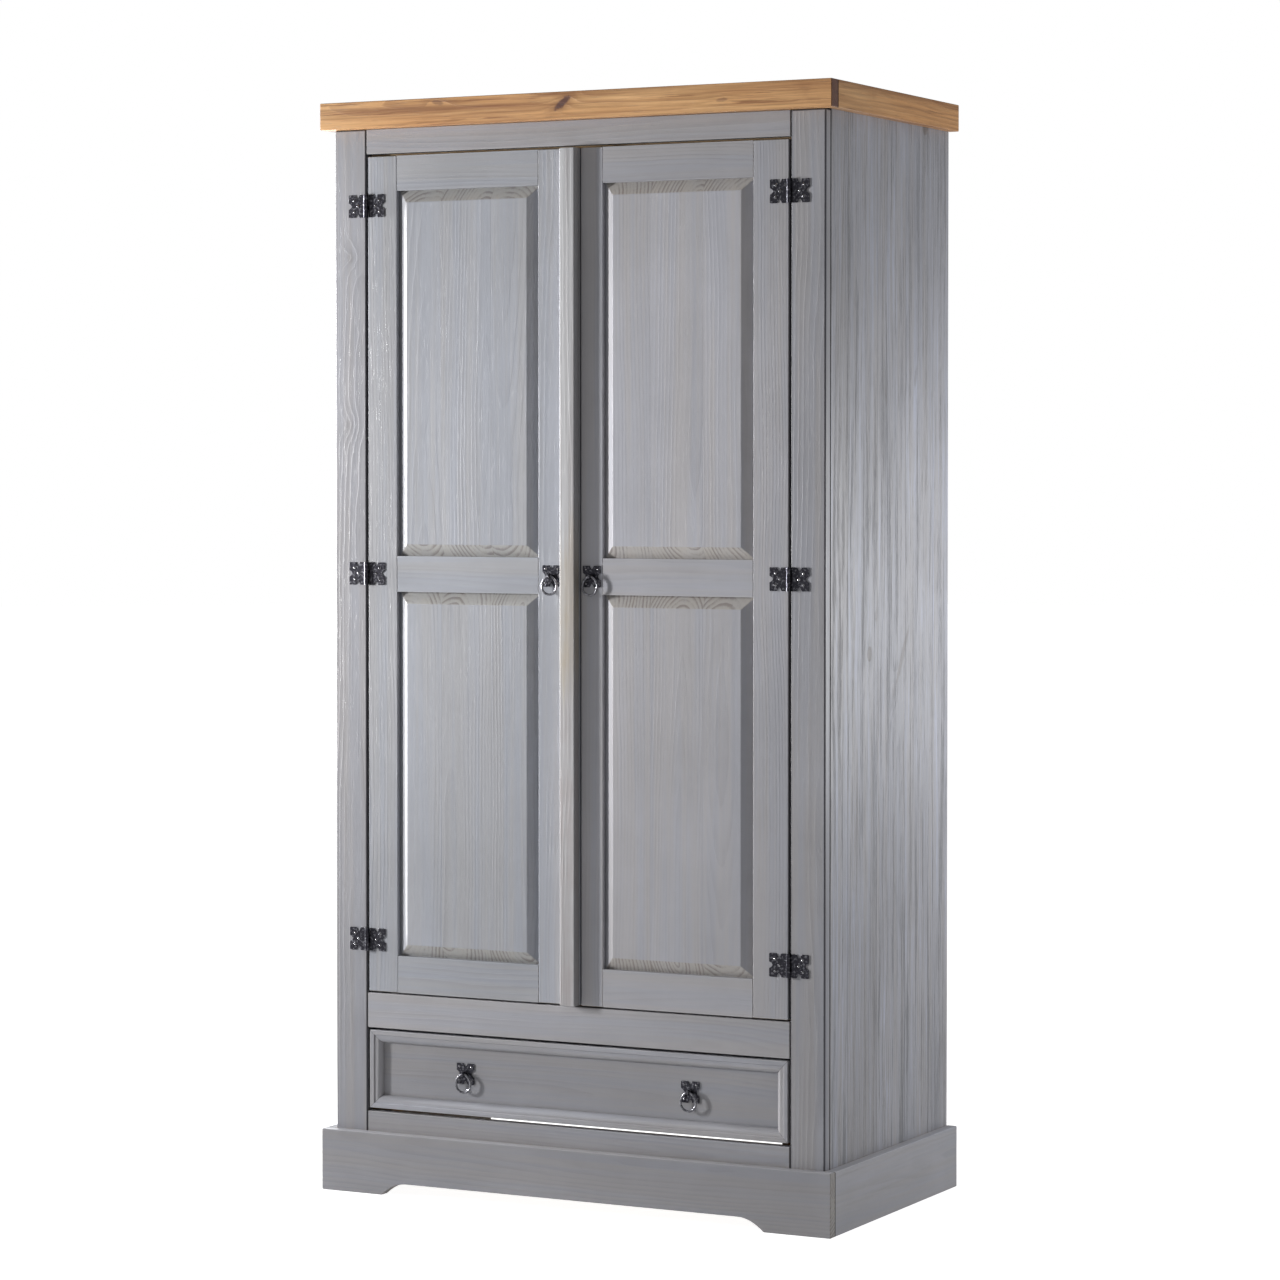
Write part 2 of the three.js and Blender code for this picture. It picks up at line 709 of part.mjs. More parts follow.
// The eye is a short ring whose hole runs along X, on a neck that rises from the plate.
// The ring pull's origin is the middle of that hole.
function plateWithEye() {
  const half = eyeWidth / 2;
  const shoulder = half - eyeRound;
  const profile = [
    [eyeHoleRadius, -shoulder],
    [eyeHoleRadius + eyeRound, -half],
    [eyeRadius - eyeRound, -half],
    [eyeRadius, -shoulder],
    [eyeRadius, shoulder],
    [eyeRadius - eyeRound, half],
    [eyeHoleRadius + eyeRound, half],
    [eyeHoleRadius, shoulder],
    [eyeHoleRadius, -shoulder],
  ];
  const eye = turned(profile, eyeSides).rotateZ(Math.PI / 2);
  const plateY = [eyeReach - seam - plateStock, eyeReach - seam];
  const plate = extrudedBack(plateShape(), plateY, notchSegments);
  const neckHalf = half - eyeNeckInset;
  const neckY = [(eyeHoleRadius + eyeRadius) / 2, plateY[0] + eyeNeckSink];
  const neck = block([-neckHalf, neckHalf], neckY, [-eyeNeckHalfHeight, eyeNeckHalfHeight]);
  return joined(eye, neck, plate);
}

// The ring's centre line, from the eye down and back: a round that narrows towards the eye.
class PearCurve extends THREE.Curve {
  getPoint(t, target = new THREE.Vector3()) {
    const angle = 2 * Math.PI * t;
    const halfAcross = ringWidth / 2 - ringWireRadius;
    const halfDown = ringHeight / 2 - ringWireRadius;
    const x = halfAcross * Math.sin(angle) * (1 - ringTaper * Math.cos(angle));
    return target.set(x, 0, halfDown * (Math.cos(angle) - 1));
  }
}

function pullRing() {
  return new THREE.TubeGeometry(new PearCurve(), ringSegments, ringWireRadius, wireSides, true);
}

function addPull(parent, name, x, surfaceY, z) {
  const pull = addGroup(parent, x, surfaceY - eyeReach, z);
  addMesh(pull, `${name}_plate`, plateWithEye(), blackIron);
  addMesh(pull, `${name}_ring`, pullRing(), blackIron);
}

// ---- The armoire --------------------------------------------------------------------------

const armoire = new THREE.Group();
const carcass = addGroup(armoire);
const drawer = addGroup(armoire);
const leftDoor = addGroup(armoire);
const rightDoor = addGroup(armoire);

addSides(carcass);
addFaceRails(carcass);
addTop(carcass);
addPlinth(carcass);
addBack(carcass);
addFloor(carcass);
addHangingRail(carcass);
addRunners(carcass);

addDrawerFront(drawer);
addDrawerBox(drawer);

addDoor(leftDoor, "left", -1, leftHingeStileWidth, leftLockStileInner);
addDoor(rightDoor, "right", 1, rightHingeStileWidth, rightLockStileInner);
addCoverStrip(leftDoor);
addHinges(carcass, leftDoor, "left", -1);
addHinges(carcass, rightDoor, "right", 1);

const drawerPullZ = (drawerBottomZ + drawerTopZ) / 2 + drawerPullRaise;
addPull(leftDoor, "left_door_pull", -leftPullFromCentre, faceY, middleRailCentre);
addPull(rightDoor, "right_door_pull", rightPullFromCentre, faceY, middleRailCentre);
addPull(drawer, "drawer_left_pull", -drawerPullSpacing / 2, drawerFieldY, drawerPullZ);
addPull(drawer, "drawer_right_pull", drawerPullSpacing / 2, drawerFieldY, drawerPullZ);

export default armoire;
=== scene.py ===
"""A grey-washed pine armoire: the looks of it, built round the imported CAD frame.

Metres, +Z up, the front faces -Y and the origin is on the floor under the middle.
"""
import math
import random
from typing import NamedTuple

import bmesh
import bpy
from mathutils import Matrix, Vector


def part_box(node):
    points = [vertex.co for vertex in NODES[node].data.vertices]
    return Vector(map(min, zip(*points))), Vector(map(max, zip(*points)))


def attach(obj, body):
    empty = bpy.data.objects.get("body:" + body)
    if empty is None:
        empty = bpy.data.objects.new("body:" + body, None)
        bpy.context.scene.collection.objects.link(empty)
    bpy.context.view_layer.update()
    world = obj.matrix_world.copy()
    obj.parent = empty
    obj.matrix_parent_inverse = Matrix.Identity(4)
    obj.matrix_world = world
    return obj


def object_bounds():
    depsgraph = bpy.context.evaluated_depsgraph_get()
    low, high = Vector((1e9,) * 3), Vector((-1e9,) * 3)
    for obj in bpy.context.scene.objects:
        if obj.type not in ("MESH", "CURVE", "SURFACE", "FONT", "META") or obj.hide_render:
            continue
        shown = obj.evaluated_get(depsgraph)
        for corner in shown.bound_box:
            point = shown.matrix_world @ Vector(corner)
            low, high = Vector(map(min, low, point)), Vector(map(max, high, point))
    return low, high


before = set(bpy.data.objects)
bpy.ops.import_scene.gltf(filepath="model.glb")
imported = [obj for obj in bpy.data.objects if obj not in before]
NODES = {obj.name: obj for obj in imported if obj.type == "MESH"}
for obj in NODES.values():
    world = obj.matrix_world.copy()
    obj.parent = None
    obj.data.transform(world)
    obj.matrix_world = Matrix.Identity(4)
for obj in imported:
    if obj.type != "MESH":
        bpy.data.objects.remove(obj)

CAD_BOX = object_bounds()
MM = 0.001

# ---- Camera and light ----------------------------------------------------------------------

CAMERA_AZIMUTH = math.radians(27.341)
CAMERA_DISTANCE = 6.788
CAMERA_HEIGHT = 1.244
CAMERA_TILT = math.radians(-1.420)
CAMERA_LENS = 110.18
CAMERA_SHIFT_Y = -0.055

ROOM_LIGHT = 0.275
FLOOR_TONE = 0.42
FLOOR_SEEN = 0.95
FLOOR_GLOW = 0.22

# ---- Colours, linear -----------------------------------------------------------------------

GREY_COOL = (0.350, 0.356, 0.398)
GREY_WARM = (0.372, 0.364, 0.382)
GREY_DEEP = (0.230, 0.236, 0.256)
# A lighter grey for rubbed wash, which on the edges is also a painted highlight.
GREY_RUBBED_AND_HIGHLIGHT = (0.545, 0.548, 0.565)
STRIP_WASH = (0.410, 0.395, 0.405)
STRIP_WORN = (0.450, 0.375, 0.270)
STRIP_PINK = (0.400, 0.340, 0.335)
# Painted shade: the near-black that a face stile's rounded corner is darkened towards.
ARRIS_PAINTED_SHADE = (0.070, 0.069, 0.082)
WORN_LIGHT = (0.465, 0.432, 0.380)
WORN_DARK = (0.215, 0.170, 0.130)
GREY_BLUE = (0.400, 0.420, 0.500)
KNOT_UNDER_WASH = (0.190, 0.175, 0.170)
WAX_LIGHT = (0.610, 0.312, 0.122)
WAX_PALE = (0.710, 0.425, 0.195)
WAX_DARK = (0.250, 0.105, 0.040)
WAX_KNOT = (0.110, 0.045, 0.035)
WAX_END = (0.090, 0.036, 0.030)
PINE_LIGHT = (0.690, 0.500, 0.290)
PINE_DARK = (0.480, 0.290, 0.130)
PINE_KNOT = (0.230, 0.105, 0.050)
PINE_END = (0.420, 0.270, 0.140)
# Painted shade: the share of brightness left on the side panels' inner faces under the cupboard's floor.
UNDER_FLOOR_SHADE_SHARE = 0.12
LEFT_DOOR_TINT = (0.950, 0.982, 1.000)
IRON_BLACK = (0.056, 0.055, 0.068)
IRON_RUBBED = (0.380, 0.380, 0.420)
RING_BRIGHT = (0.340, 0.340, 0.370)
RING_DULL = (0.140, 0.140, 0.155)
NAIL_BRIGHT = (0.420, 0.418, 0.440)
NAIL_DULL = (0.110, 0.108, 0.120)
STEEL_BRIGHT = (0.740, 0.750, 0.770)
STEEL_DULL = (0.580, 0.580, 0.590)
PLASTIC_DARK = (0.050, 0.030, 0.020)
PLASTIC_BROWN = (0.075, 0.046, 0.030)


# ---- Node helpers --------------------------------------------------------------------------

class Graph:
    """Adds nodes to one tree and links them, so that a material reads as a few formulas."""

    def __init__(self, tree):
        self.tree = tree

    def add(self, kind, **settings):
        node = self.tree.nodes.new(kind)
        for key, value in settings.items():
            setattr(node, key, value)
        return node

    def put(self, socket, value):
        """Links value if it is a socket, and otherwise sets it."""
        if isinstance(value, bpy.types.NodeSocket):
            self.tree.links.new(value, socket)
        elif value is not None:
            socket.default_value = value

    def math(self, operation, a, b=None, c=None):
        node = self.add("ShaderNodeMath", operation=operation)
        for socket, value in zip(node.inputs, (a, b, c)):
            self.put(socket, value)
        return node.outputs[0]

    def plus(self, a, b):
        return self.math("ADD", a, b)

    def minus(self, a, b):
        return self.math("SUBTRACT", a, b)

    def times(self, a, b):
        return self.math("MULTIPLY", a, b)

    def over(self, a, b):
        return self.math("DIVIDE", a, b)

    def times_plus(self, a, b, c):
        return self.math("MULTIPLY_ADD", a, b, c)

    def absolute(self, a):
        return self.math("ABSOLUTE", a)

    def vector(self, operation, a, b=None, scale=None):
        node = self.add("ShaderNodeVectorMath", operation=operation)
        self.put(node.inputs[0], a)
        self.put(node.inputs[1], b)
        if scale is not None:
            self.put(node.inputs["Scale"], scale)
        return node.outputs["Value" if operation == "LENGTH" else "Vector"]

    def split(self, vector):
        node = self.add("ShaderNodeSeparateXYZ")
        self.put(node.inputs[0], vector)
        return list(node.outputs)

    def merge(self, x, y, z):
        node = self.add("ShaderNodeCombineXYZ")
        for socket, value in zip(node.inputs, (x, y, z)):
            self.put(socket, value)
        return node.outputs[0]

    def noise(self, vector, scale=1.0, detail=2.0, roughness=0.5, colour=False):
        node = self.add("ShaderNodeTexNoise")
        self.put(node.inputs["Vector"], vector)
        self.put(node.inputs["Scale"], scale)
        self.put(node.inputs["Detail"], detail)
        self.put(node.inputs["Roughness"], roughness)
        return node.outputs["Color" if colour else "Fac"]

    def random(self, value, colour=False):
        node = self.add("ShaderNodeTexWhiteNoise", noise_dimensions="1D")
        self.put(node.inputs["W"], value)
        return node.outputs["Color" if colour else "Value"]

    def step(self, value, low, high, start=0.0, end=1.0):
        """A smooth rise from start, where value is low, to end, where it is high."""
        node = self.add("ShaderNodeMapRange", interpolation_type="SMOOTHSTEP")
        for socket, number in zip(node.inputs, (value, low, high, start, end)):
            self.put(socket, number)
        return node.outputs[0]

    def mix(self, factor, a, b):
        """Mixes two colours."""
        node = self.add("ShaderNodeMix", data_type="RGBA")
        self.put(node.inputs[0], factor)
        self.put(node.inputs[6], (*a, 1) if isinstance(a, tuple) else a)
        self.put(node.inputs[7], (*b, 1) if isinstance(b, tuple) else b)
        return node.outputs[2]

    def scaled(self, colour, factor):
        """A colour times a number."""
        return self.vector("SCALE", colour, scale=factor)

    def dimmed(self, colour, mask, share):
        """A colour times share where mask is 1, and left as it is where mask is 0."""
        return self.scaled(colour, self.times_plus(mask, share - 1.0, 1.0))

    def bump(self, height, distance, strength):
        node = self.add("ShaderNodeBump")
        self.put(node.inputs["Strength"], strength)
        self.put(node.inputs["Distance"], distance)
        self.put(node.inputs["Height"], height)
        return node.outputs[0]


class Surface(Graph):
    """The graph of a new material, which ends in one coat."""

    def __init__(self, name):
        self.material = bpy.data.materials.new(name)
        self.material.use_nodes = True
        super().__init__(self.material.node_tree)
        self.shader = next(node for node in self.tree.nodes if node.type == "BSDF_PRINCIPLED")

    def object_place(self):
        return self.add("ShaderNodeTexCoord").outputs["Object"]

    def coat(self, colour, roughness, normal=None, metallic=0.0):
        """Feeds the Principled shader, and returns the material."""
        inputs = self.shader.inputs
        self.put(inputs["Base Color"], colour)
        self.put(inputs["Roughness"], roughness)
        self.put(inputs["Normal"], normal)
        self.put(inputs["Metallic"], metallic)
        return self.material


# ---- Pine ----------------------------------------------------------------------------------

RING_SPACING = 6.2 * MM
KNOT_CELL = (460 * MM, 105 * MM)
KNOT_LEAST_RADIUS = 4.0 * MM
KNOT_RADIUS_RANGE = 8.5 * MM
KNOT_RAGGEDNESS = 3.5 * MM
PITH_SIDEWAYS = 110 * MM
PITH_NEAREST = -8 * MM
PITH_DEPTH_RANGE = -55 * MM
PITH_LEAN = 0.06
SEAM_WIDTH = 0.9 * MM
SEAM_CORE = 0.3 * MM
SWAY_REACH = 75 * MM
WANDER_REACH = 9.5 * MM
BRUSH_REACH = 12 * MM

# How often each pattern changes in a metre: along the grain, and across it.
SWAY = (0.8, 2.6)
WANDER = (4.5, 19.0)
RUBBED = (1.3, 26.0)
FIBRE = (5.5, 330.0)
STREAK = (0.9, 42.0)
FIGURE = (1.6, 6.5)
BRUSH = (2.1, 80.0)
PORE = (26.0, 620.0)


def make_pine_group():
    """Growth rings, fibre and knots of a board whose grain runs along the vector's X.

    Y is across its face and Z its depth. A board is glued up of staves of one width, and each
    stave has a pith of its own, which lies a little behind or in front of the face.
    """
    tree = bpy.data.node_groups.new("pine", "ShaderNodeTree")
    given_kinds = {"Place": "Vector", "Stave": "Float", "Knots": "Float", "Seed": "Float",
                   "Bulge": "Float"}
    for name, kind in given_kinds.items():
        tree.interface.new_socket(name, in_out="INPUT", socket_type="NodeSocket" + kind)
    for name in ("Late", "Fibre", "Streak", "Figure", "Brush", "Knot", "Core", "Joint", "Pore"):
        tree.interface.new_socket(name, in_out="OUTPUT", socket_type="NodeSocketFloat")
    g = Graph(tree)
    given = g.add("NodeGroupInput").outputs
    result = g.add("NodeGroupOutput").inputs
    place, stave_width, knots, seed, own_bulge = (given[name] for name in given_kinds)
    x, y, z = g.split(place)

    across = g.over(y, stave_width)
    stave = g.math("ROUND", across)
    stave_random = g.random(g.times_plus(stave, 7.31, seed), colour=True)
    tilt, sideways, depth = g.split(stave_random)
    shift = g.times(stave, 3.7)
    moved = g.vector("ADD", place, g.merge(g.plus(seed, shift), 0.0, seed))

    def grain(where, cycles, **settings):
        """Noise drawn out along the grain."""
        along, across_it = cycles
        return g.noise(g.vector("MULTIPLY", where, (along, across_it, across_it)), **settings)

    def centred(colour):
        return g.vector("SUBTRACT", colour, (0.5,) * 3)

    sway = centred(grain(moved, SWAY, colour=True))
    wander = centred(grain(moved, WANDER, detail=3.0, colour=True))
    drift = g.vector("ADD", g.vector("SCALE", sway, scale=SWAY_REACH),
                     g.vector("SCALE", wander, scale=WANDER_REACH))
    drift_y, drift_z, _ = g.split(drift)

    # Knots: at most one in each cell of a jittered grid over the face.
    cell_x, cell_y = KNOT_CELL
    grid = g.merge(g.over(g.plus(x, g.plus(seed, shift)), cell_x),
                   g.plus(g.over(y, cell_y), seed), 0.0)
    cells = g.add("ShaderNodeTexVoronoi", voronoi_dimensions="2D", feature="F1")
    g.put(cells.inputs["Vector"], grid)
    g.put(cells.inputs["Scale"], 1.0)
    chance, girth, _ = g.split(cells.outputs["Color"])
    radius = g.times_plus(girth, KNOT_RADIUS_RANGE, KNOT_LEAST_RADIUS)
    offset = g.vector("SUBTRACT", grid, cells.outputs["Position"])
    offset = g.vector("MULTIPLY", offset, (cell_x * 0.72, cell_y, 0.0))
    ragged = g.times(g.minus(g.noise(moved, scale=90.0, detail=3.0), 0.5), KNOT_RAGGEDNESS)
    away = g.plus(g.vector("LENGTH", offset), ragged)
    there = g.math("LESS_THAN", chance, knots)
    reach = g.over(away, radius)
    core = g.times(g.step(reach, 1.08, 0.86), there)
    halo = g.math("EXPONENT", g.times(g.times(reach, reach), -0.17))
    halo = g.times(halo, there)
    bulge = g.times_plus(halo, g.times(radius, 1.9), own_bulge)

    pith_y = g.times(g.minus(sideways, 0.5), PITH_SIDEWAYS)
    pith_z = g.times_plus(depth, PITH_DEPTH_RANGE, PITH_NEAREST)
    stave_y = g.minus(y, g.times(stave, stave_width))
    lean = g.times(x, g.times(g.minus(tilt, 0.5), PITH_LEAN))
    from_y = g.plus(g.minus(stave_y, pith_y), drift_y)
    from_z = g.plus(g.plus(g.minus(z, pith_z), lean), drift_z)
    distance = g.vector("LENGTH", g.merge(from_y, from_z, 0.0))
    phase = g.over(g.plus(distance, bulge), RING_SPACING)
    year = g.math("FRACT", phase)
    strength = g.times_plus(g.random(g.math("FLOOR", phase)), 0.65, 0.35)
    late = g.times(g.step(year, 0.25, 0.88), g.step(year, 1.0, 0.93))
    rubbed = grain(moved, RUBBED, detail=2.0)
    late = g.times(g.times(late, strength), g.step(rubbed, 0.34, 0.60, 0.20, 1.0))

    fibre = grain(moved, FIBRE, detail=4.0, roughness=0.62)
    streak = grain(moved, STREAK, detail=4.0, roughness=0.6)
    figure = grain(moved, FIGURE, detail=4.0, roughness=0.55)
    swayed = g.vector("ADD", moved, g.vector("SCALE", wander, scale=BRUSH_REACH))
    brush = grain(swayed, BRUSH, detail=5.0, roughness=0.72)
    pore = grain(moved, PORE, detail=2.0)
    edge = g.absolute(g.minus(g.absolute(g.minus(across, stave)), 0.5))
    joint = g.step(g.times(edge, stave_width), SEAM_WIDTH, SEAM_CORE)

    made = (late, fibre, streak, figure, brush, halo, core, joint, g.step(pore, 0.63, 0.72))
    for socket, value in zip(result, made):
        g.put(socket, value)
    return tree


PINE = make_pine_group()

FACE_DEPTH = 0.9 * MM
MITRE_WIDTH = 0.8 * MM
MITRE_CORE = 0.3 * MM
# How far painted shade reaches from a board's face into its crease.
CREASE_SHADE_REACH = 2.2 * MM
CORNER_EASED = 2.6 * MM


class Knot(NamedTuple):
    """A knot at a known place. Its lean is its long axis's turn from the grain, in radians."""
    place: tuple
    half_length: float
    half_width: float
    lean: float
    darkness: float


class Board:
    """One board's own coordinates, masks and pine, in one material's graph."""

    def __init__(self, g, box, axes, seed, stave, knots, frame_member=False, own_knots=()):
        low, high = box
        self.g = g
        self.centre = (low + high) / 2
        self.half = (high - low) / 2
        texture = g.add("ShaderNodeTexCoord")
        local = g.split(g.vector("SUBTRACT", texture.outputs["Object"], tuple(self.centre)))
        normal = g.split(texture.outputs["Normal"])
        self.local = dict(zip("xyz", local))
        self.normal = dict(zip("xyz", normal))
        self.axes = axes
        place = g.merge(*(self.local[axis] for axis in axes))
        along = self.normal[axes[0]]
        if frame_member:
            upright = self.on_upright()
            turned_place = g.merge(self.local["z"], self.local["x"], self.local["y"])
            place = self.pick(upright, place, turned_place)
            along = g.plus(g.times(along, g.minus(1.0, upright)), g.times(self.normal["z"], upright))
        pine = g.add("ShaderNodeGroup", node_tree=PINE)
        g.put(pine.inputs["Place"], place)
        g.put(pine.inputs["Stave"], stave)
        g.put(pine.inputs["Knots"], knots)
        g.put(pine.inputs["Seed"], seed)
        self.place = place
        bulge, halo, core = self.placed_knots(own_knots)
        g.put(pine.inputs["Bulge"], bulge)
        for output in pine.outputs:
            setattr(self, output.name.lower(), output)
        if own_knots:
            self.knot = g.math("MAXIMUM", self.knot, halo)
            self.core = g.math("MAXIMUM", self.core, core)
        self.end = g.step(g.absolute(along), 0.20, 0.34)
        moved = g.vector("ADD", place, (seed, 0.0, 0.0))
        self.blotch = g.noise(moved, scale=4.5, detail=5.0, roughness=0.62)
        self.edge = self.edge_mask()

    def placed_knots(self, knots):
        """How far this board's own knots push its rings, and their halo and their core."""
        g = self.g
        bulge, halo, core = 0.0, 0.0, 0.0
        for knot in knots:
            half_length, half_width = knot.half_length, knot.half_width
            centre = Vector(knot.place) - self.centre
            along, across = (centre["xyz".index(axis)] for axis in self.axes[:2])
            x, y, _ = g.split(g.vector("SUBTRACT", self.place, (along, across, 0.0)))
            cos, sin = math.cos(knot.lean), math.sin(knot.lean)
            u = g.plus(g.times(x, cos / half_length), g.times(y, sin / half_length))
            v = g.plus(g.times(y, cos / half_width), g.times(x, -sin / half_width))
            torn = g.noise(self.place, scale=150.0, detail=4.0, roughness=0.65)
            away = g.times_plus(torn, 0.9, g.vector("LENGTH", g.merge(u, v, 0.0)))
            around = g.math("EXPONENT", g.times(g.times(away, away), -0.16))
            bulge = g.times_plus(around, half_width * 1.1, bulge)
            halo = g.math("MAXIMUM", halo, g.times(around, knot.darkness))
            core = g.math("MAXIMUM", core, g.step(away, 1.55, 1.00, 0.0, knot.darkness))
        return bulge, halo, core

    def crease(self, axis, sign, reach):
        """1 on the face that meets a neighbour, falling to 0 within reach of it: where painted shade
        darkens the crease.
        """
        g = self.g
        gap = g.minus(self.half["xyz".index(axis)], g.times(self.local[axis], sign))
        return g.step(gap, reach, reach * 0.2)

    def on_upright(self):
        """1 on the two upright members of a mitred frame, and 0 on the two level ones."""
        g = self.g
        from_side = g.minus(self.half.x, g.absolute(self.local["x"]))
        from_top = g.minus(self.half.z, g.absolute(self.local["z"]))
        self.mitre = g.step(g.absolute(g.minus(from_side, from_top)), MITRE_WIDTH, MITRE_CORE)
        return g.math("LESS_THAN", from_side, from_top)

    def pick(self, factor, a, b):
        node = self.g.add("ShaderNodeMix", data_type="VECTOR")
        self.g.put(node.inputs[0], factor)
        self.g.put(node.inputs[4], a)
        self.g.put(node.inputs[5], b)
        return node.outputs[1]

    def edge_mask(self):
        """1 along the board's outer edges, where two of its faces meet, worn unevenly: on the grey boards
        it lightens the edges as wear and as a painted highlight.
        """
        g = self.g
        gaps = [g.minus(half, g.absolute(self.local[axis]))
                for axis, half in zip("xyz", self.half)]
        a, b, c = gaps
        widest = g.math("MINIMUM", g.math("MAXIMUM", a, b), c)
        self.nearest_two = g.math("MAXIMUM", g.math("MINIMUM", a, b), widest)
        rubbing = g.noise(self.place, scale=38.0, detail=4.0, roughness=0.6)
        width = g.times_plus(rubbing, 0.0042, -0.0004)
        return g.step(g.over(self.nearest_two, width), 1.0, 0.45)

    def arris(self):
        """1 on the rounded edges, all along them, where painted shade darkens a face stile's corner."""
        return self.g.step(self.nearest_two, CORNER_EASED * 1.25, CORNER_EASED * 0.75)

    def facing(self, axis, sign):
        """1 on the board's face towards that way, and 0 elsewhere."""
        g = self.g
        half = self.half["xyz".index(axis)]
        return g.math("GREATER_THAN", g.times(self.local[axis], sign), half - FACE_DEPTH)


def painted_shade_below_floor(board, inside):
    """1 on a side panel's inner face under the cupboard's floor, where it is darkened with painted shade.
    """
    g = board.g
    floor_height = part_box("cabinet_floor")[0].z - board.centre.z
    under = g.step(board.local["z"], floor_height + 4 * MM, floor_height)
    return g.times(inside, under)


def bare_colour(board):
    g = board.g
    wood = g.mix(g.times(board.late, 0.85), PINE_LIGHT, PINE_DARK)
    wood = g.mix(g.step(board.streak, 0.35, 0.75, 0.0, 0.30), wood, PINE_DARK)
    wood = g.mix(g.times(board.end, 0.7), wood, PINE_END)
    wood = g.mix(g.step(board.knot, 0.2, 0.9, 0.0, 0.35), wood, PINE_DARK)
    wood = g.mix(board.core, wood, PINE_KNOT)
    wood = g.scaled(wood, g.step(board.fibre, 0.25, 0.75, 0.90, 1.07))
    return g.scaled(wood, g.step(board.figure, 0.3, 0.7, 0.93, 1.05))


def waxed_colour(board):
    """Waxed pine: amber, with dark brushed patches and pale ones where the wax is thin."""
    g = board.g
    wood = g.mix(g.step(board.figure, 0.36, 0.66), WAX_LIGHT, WAX_PALE)
    wood = g.mix(g.times(board.late, 0.45), wood, WAX_DARK)
    wood = g.mix(g.step(board.streak, 0.40, 0.68, 0.0, 0.85), wood, WAX_DARK)
    wood = g.mix(g.step(board.brush, 0.52, 0.64, 0.0, 0.85), wood, WAX_DARK)
    wood = g.mix(g.step(board.brush, 0.47, 0.30, 0.0, 0.60), wood, WAX_PALE)
    wood = g.mix(g.step(board.blotch, 0.52, 0.72, 0.0, 0.50), wood, WAX_DARK)
    wood = g.mix(g.step(board.knot, 0.2, 0.9, 0.0, 0.45), wood, WAX_DARK)
    wood = g.mix(board.core, wood, WAX_KNOT)
    wood = g.mix(g.times(board.end, 0.9), wood, WAX_END)
    wood = g.scaled(wood, g.step(board.fibre, 0.25, 0.75, 0.82, 1.12))
    wood = g.mix(g.times(board.edge, 0.35), wood, WAX_DARK)
    return g.dimmed(wood, board.pore, 0.80)


def washed_colour(board, contrast, brushed, rub):
    """A thin grey wash over pine. It sinks into the end grain, and its edges are lightened, partly as
    rubbed wear and partly as a painted highlight.
    """
    g = board.g
    grey = g.mix(g.step(board.streak, 0.38, 0.62), GREY_COOL, GREY_WARM)
    grey = g.mix(g.times(board.late, 0.34 * contrast), grey, GREY_DEEP)
    grey = g.mix(g.step(board.streak, 0.50, 0.80, 0.0, 0.25 * contrast), grey, GREY_DEEP)
    if brushed:
        patch = g.step(board.figure, 0.40, 0.60, 0.55, 1.15)
        pale = g.times(g.step(board.brush, 0.48, 0.37, 0.0, 0.55 * brushed), patch)
        dark = g.times(g.step(board.brush, 0.52, 0.66, 0.0, 0.66 * brushed), patch)
        grey = g.mix(pale, grey, GREY_BLUE)
        grey = g.mix(dark, grey, GREY_DEEP)
    grey = g.mix(g.step(board.knot, 0.25, 0.95, 0.0, 0.30), grey, GREY_DEEP)
    grey = g.scaled(grey, g.step(board.fibre, 0.25, 0.75, 1.0 - 0.05 * contrast, 1.0 + 0.05 * contrast))
    grey = g.scaled(grey, g.step(board.figure, 0.32, 0.68, 0.93, 1.05))
    grey = g.scaled(grey, g.step(board.blotch, 0.30, 0.70, 0.95, 1.04))
    grey = g.mix(g.times(board.core, 0.75), grey, KNOT_UNDER_WASH)
    under = g.mix(g.step(g.plus(board.late, board.fibre), 0.45, 1.25), WORN_LIGHT, WORN_DARK)
    thin = g.step(g.plus(board.blotch, g.times(board.fibre, 0.25)), 0.80, 0.62)
    bare = g.times(board.end, 0.55)
    bare = g.math("MAXIMUM", bare, g.times(thin, WASH_WEAR))
    grey = g.mix(bare, grey, under)
    # Lighter edges: partly wear, partly a painted highlight where the edges catch the light.
    grey = g.mix(g.times(board.edge, rub), grey, GREY_RUBBED_AND_HIGHLIGHT)
    return g.dimmed(grey, board.pore, 1.0 - 0.10 * contrast)


def strip_colour(board):
    """The cover strip's wash is pinkish, and worn through to the wood from the ring pulls down."""
    g = board.g
    wash = g.mix(g.step(board.streak, 0.38, 0.62), STRIP_WASH, GREY_RUBBED_AND_HIGHLIGHT)
    wash = g.mix(g.times(board.late, 0.12), wash, GREY_DEEP)
    height = g.over(board.local["z"], board.half.z)
    ragged = g.times_plus(board.streak, 0.55, height)
    handled = g.times(g.step(ragged, 0.42, 0.30), g.step(ragged, -0.05, 0.12))
    patchy = g.step(g.plus(board.blotch, g.times(board.brush, 0.5)), 0.66, 0.90)
    wash = g.mix(g.times(handled, g.times_plus(patchy, 0.45, 0.35)), wash, STRIP_WORN)
    lower = g.step(ragged, 0.05, -0.10)
    wash = g.mix(g.times(lower, g.times(patchy, 0.5)), wash, STRIP_PINK)
    wash = g.scaled(wash, g.step(board.fibre, 0.25, 0.75, 0.95, 1.05))
    # The strip's lighter edges: partly wear, partly a painted highlight.
    return g.mix(g.times(board.edge, 0.55), wash, GREY_RUBBED_AND_HIGHLIGHT)


SEEDS = random.Random(41)
UNGLUED = 10.0
WASH_WEAR = 0.05
ROUGHNESS = {"grey_wash": (0.38, 0.54), "waxed_pine": (0.34, 0.52), "bare_pine": (0.58, 0.78)}
STRIP_ROUGHNESS = (0.44, 0.60)
GRAIN_RELIEF = 0.22 * MM
GRAIN_STRENGTH = 0.75
SEAM_SHADE = 0.35
MITRE_SHADE = 0.60


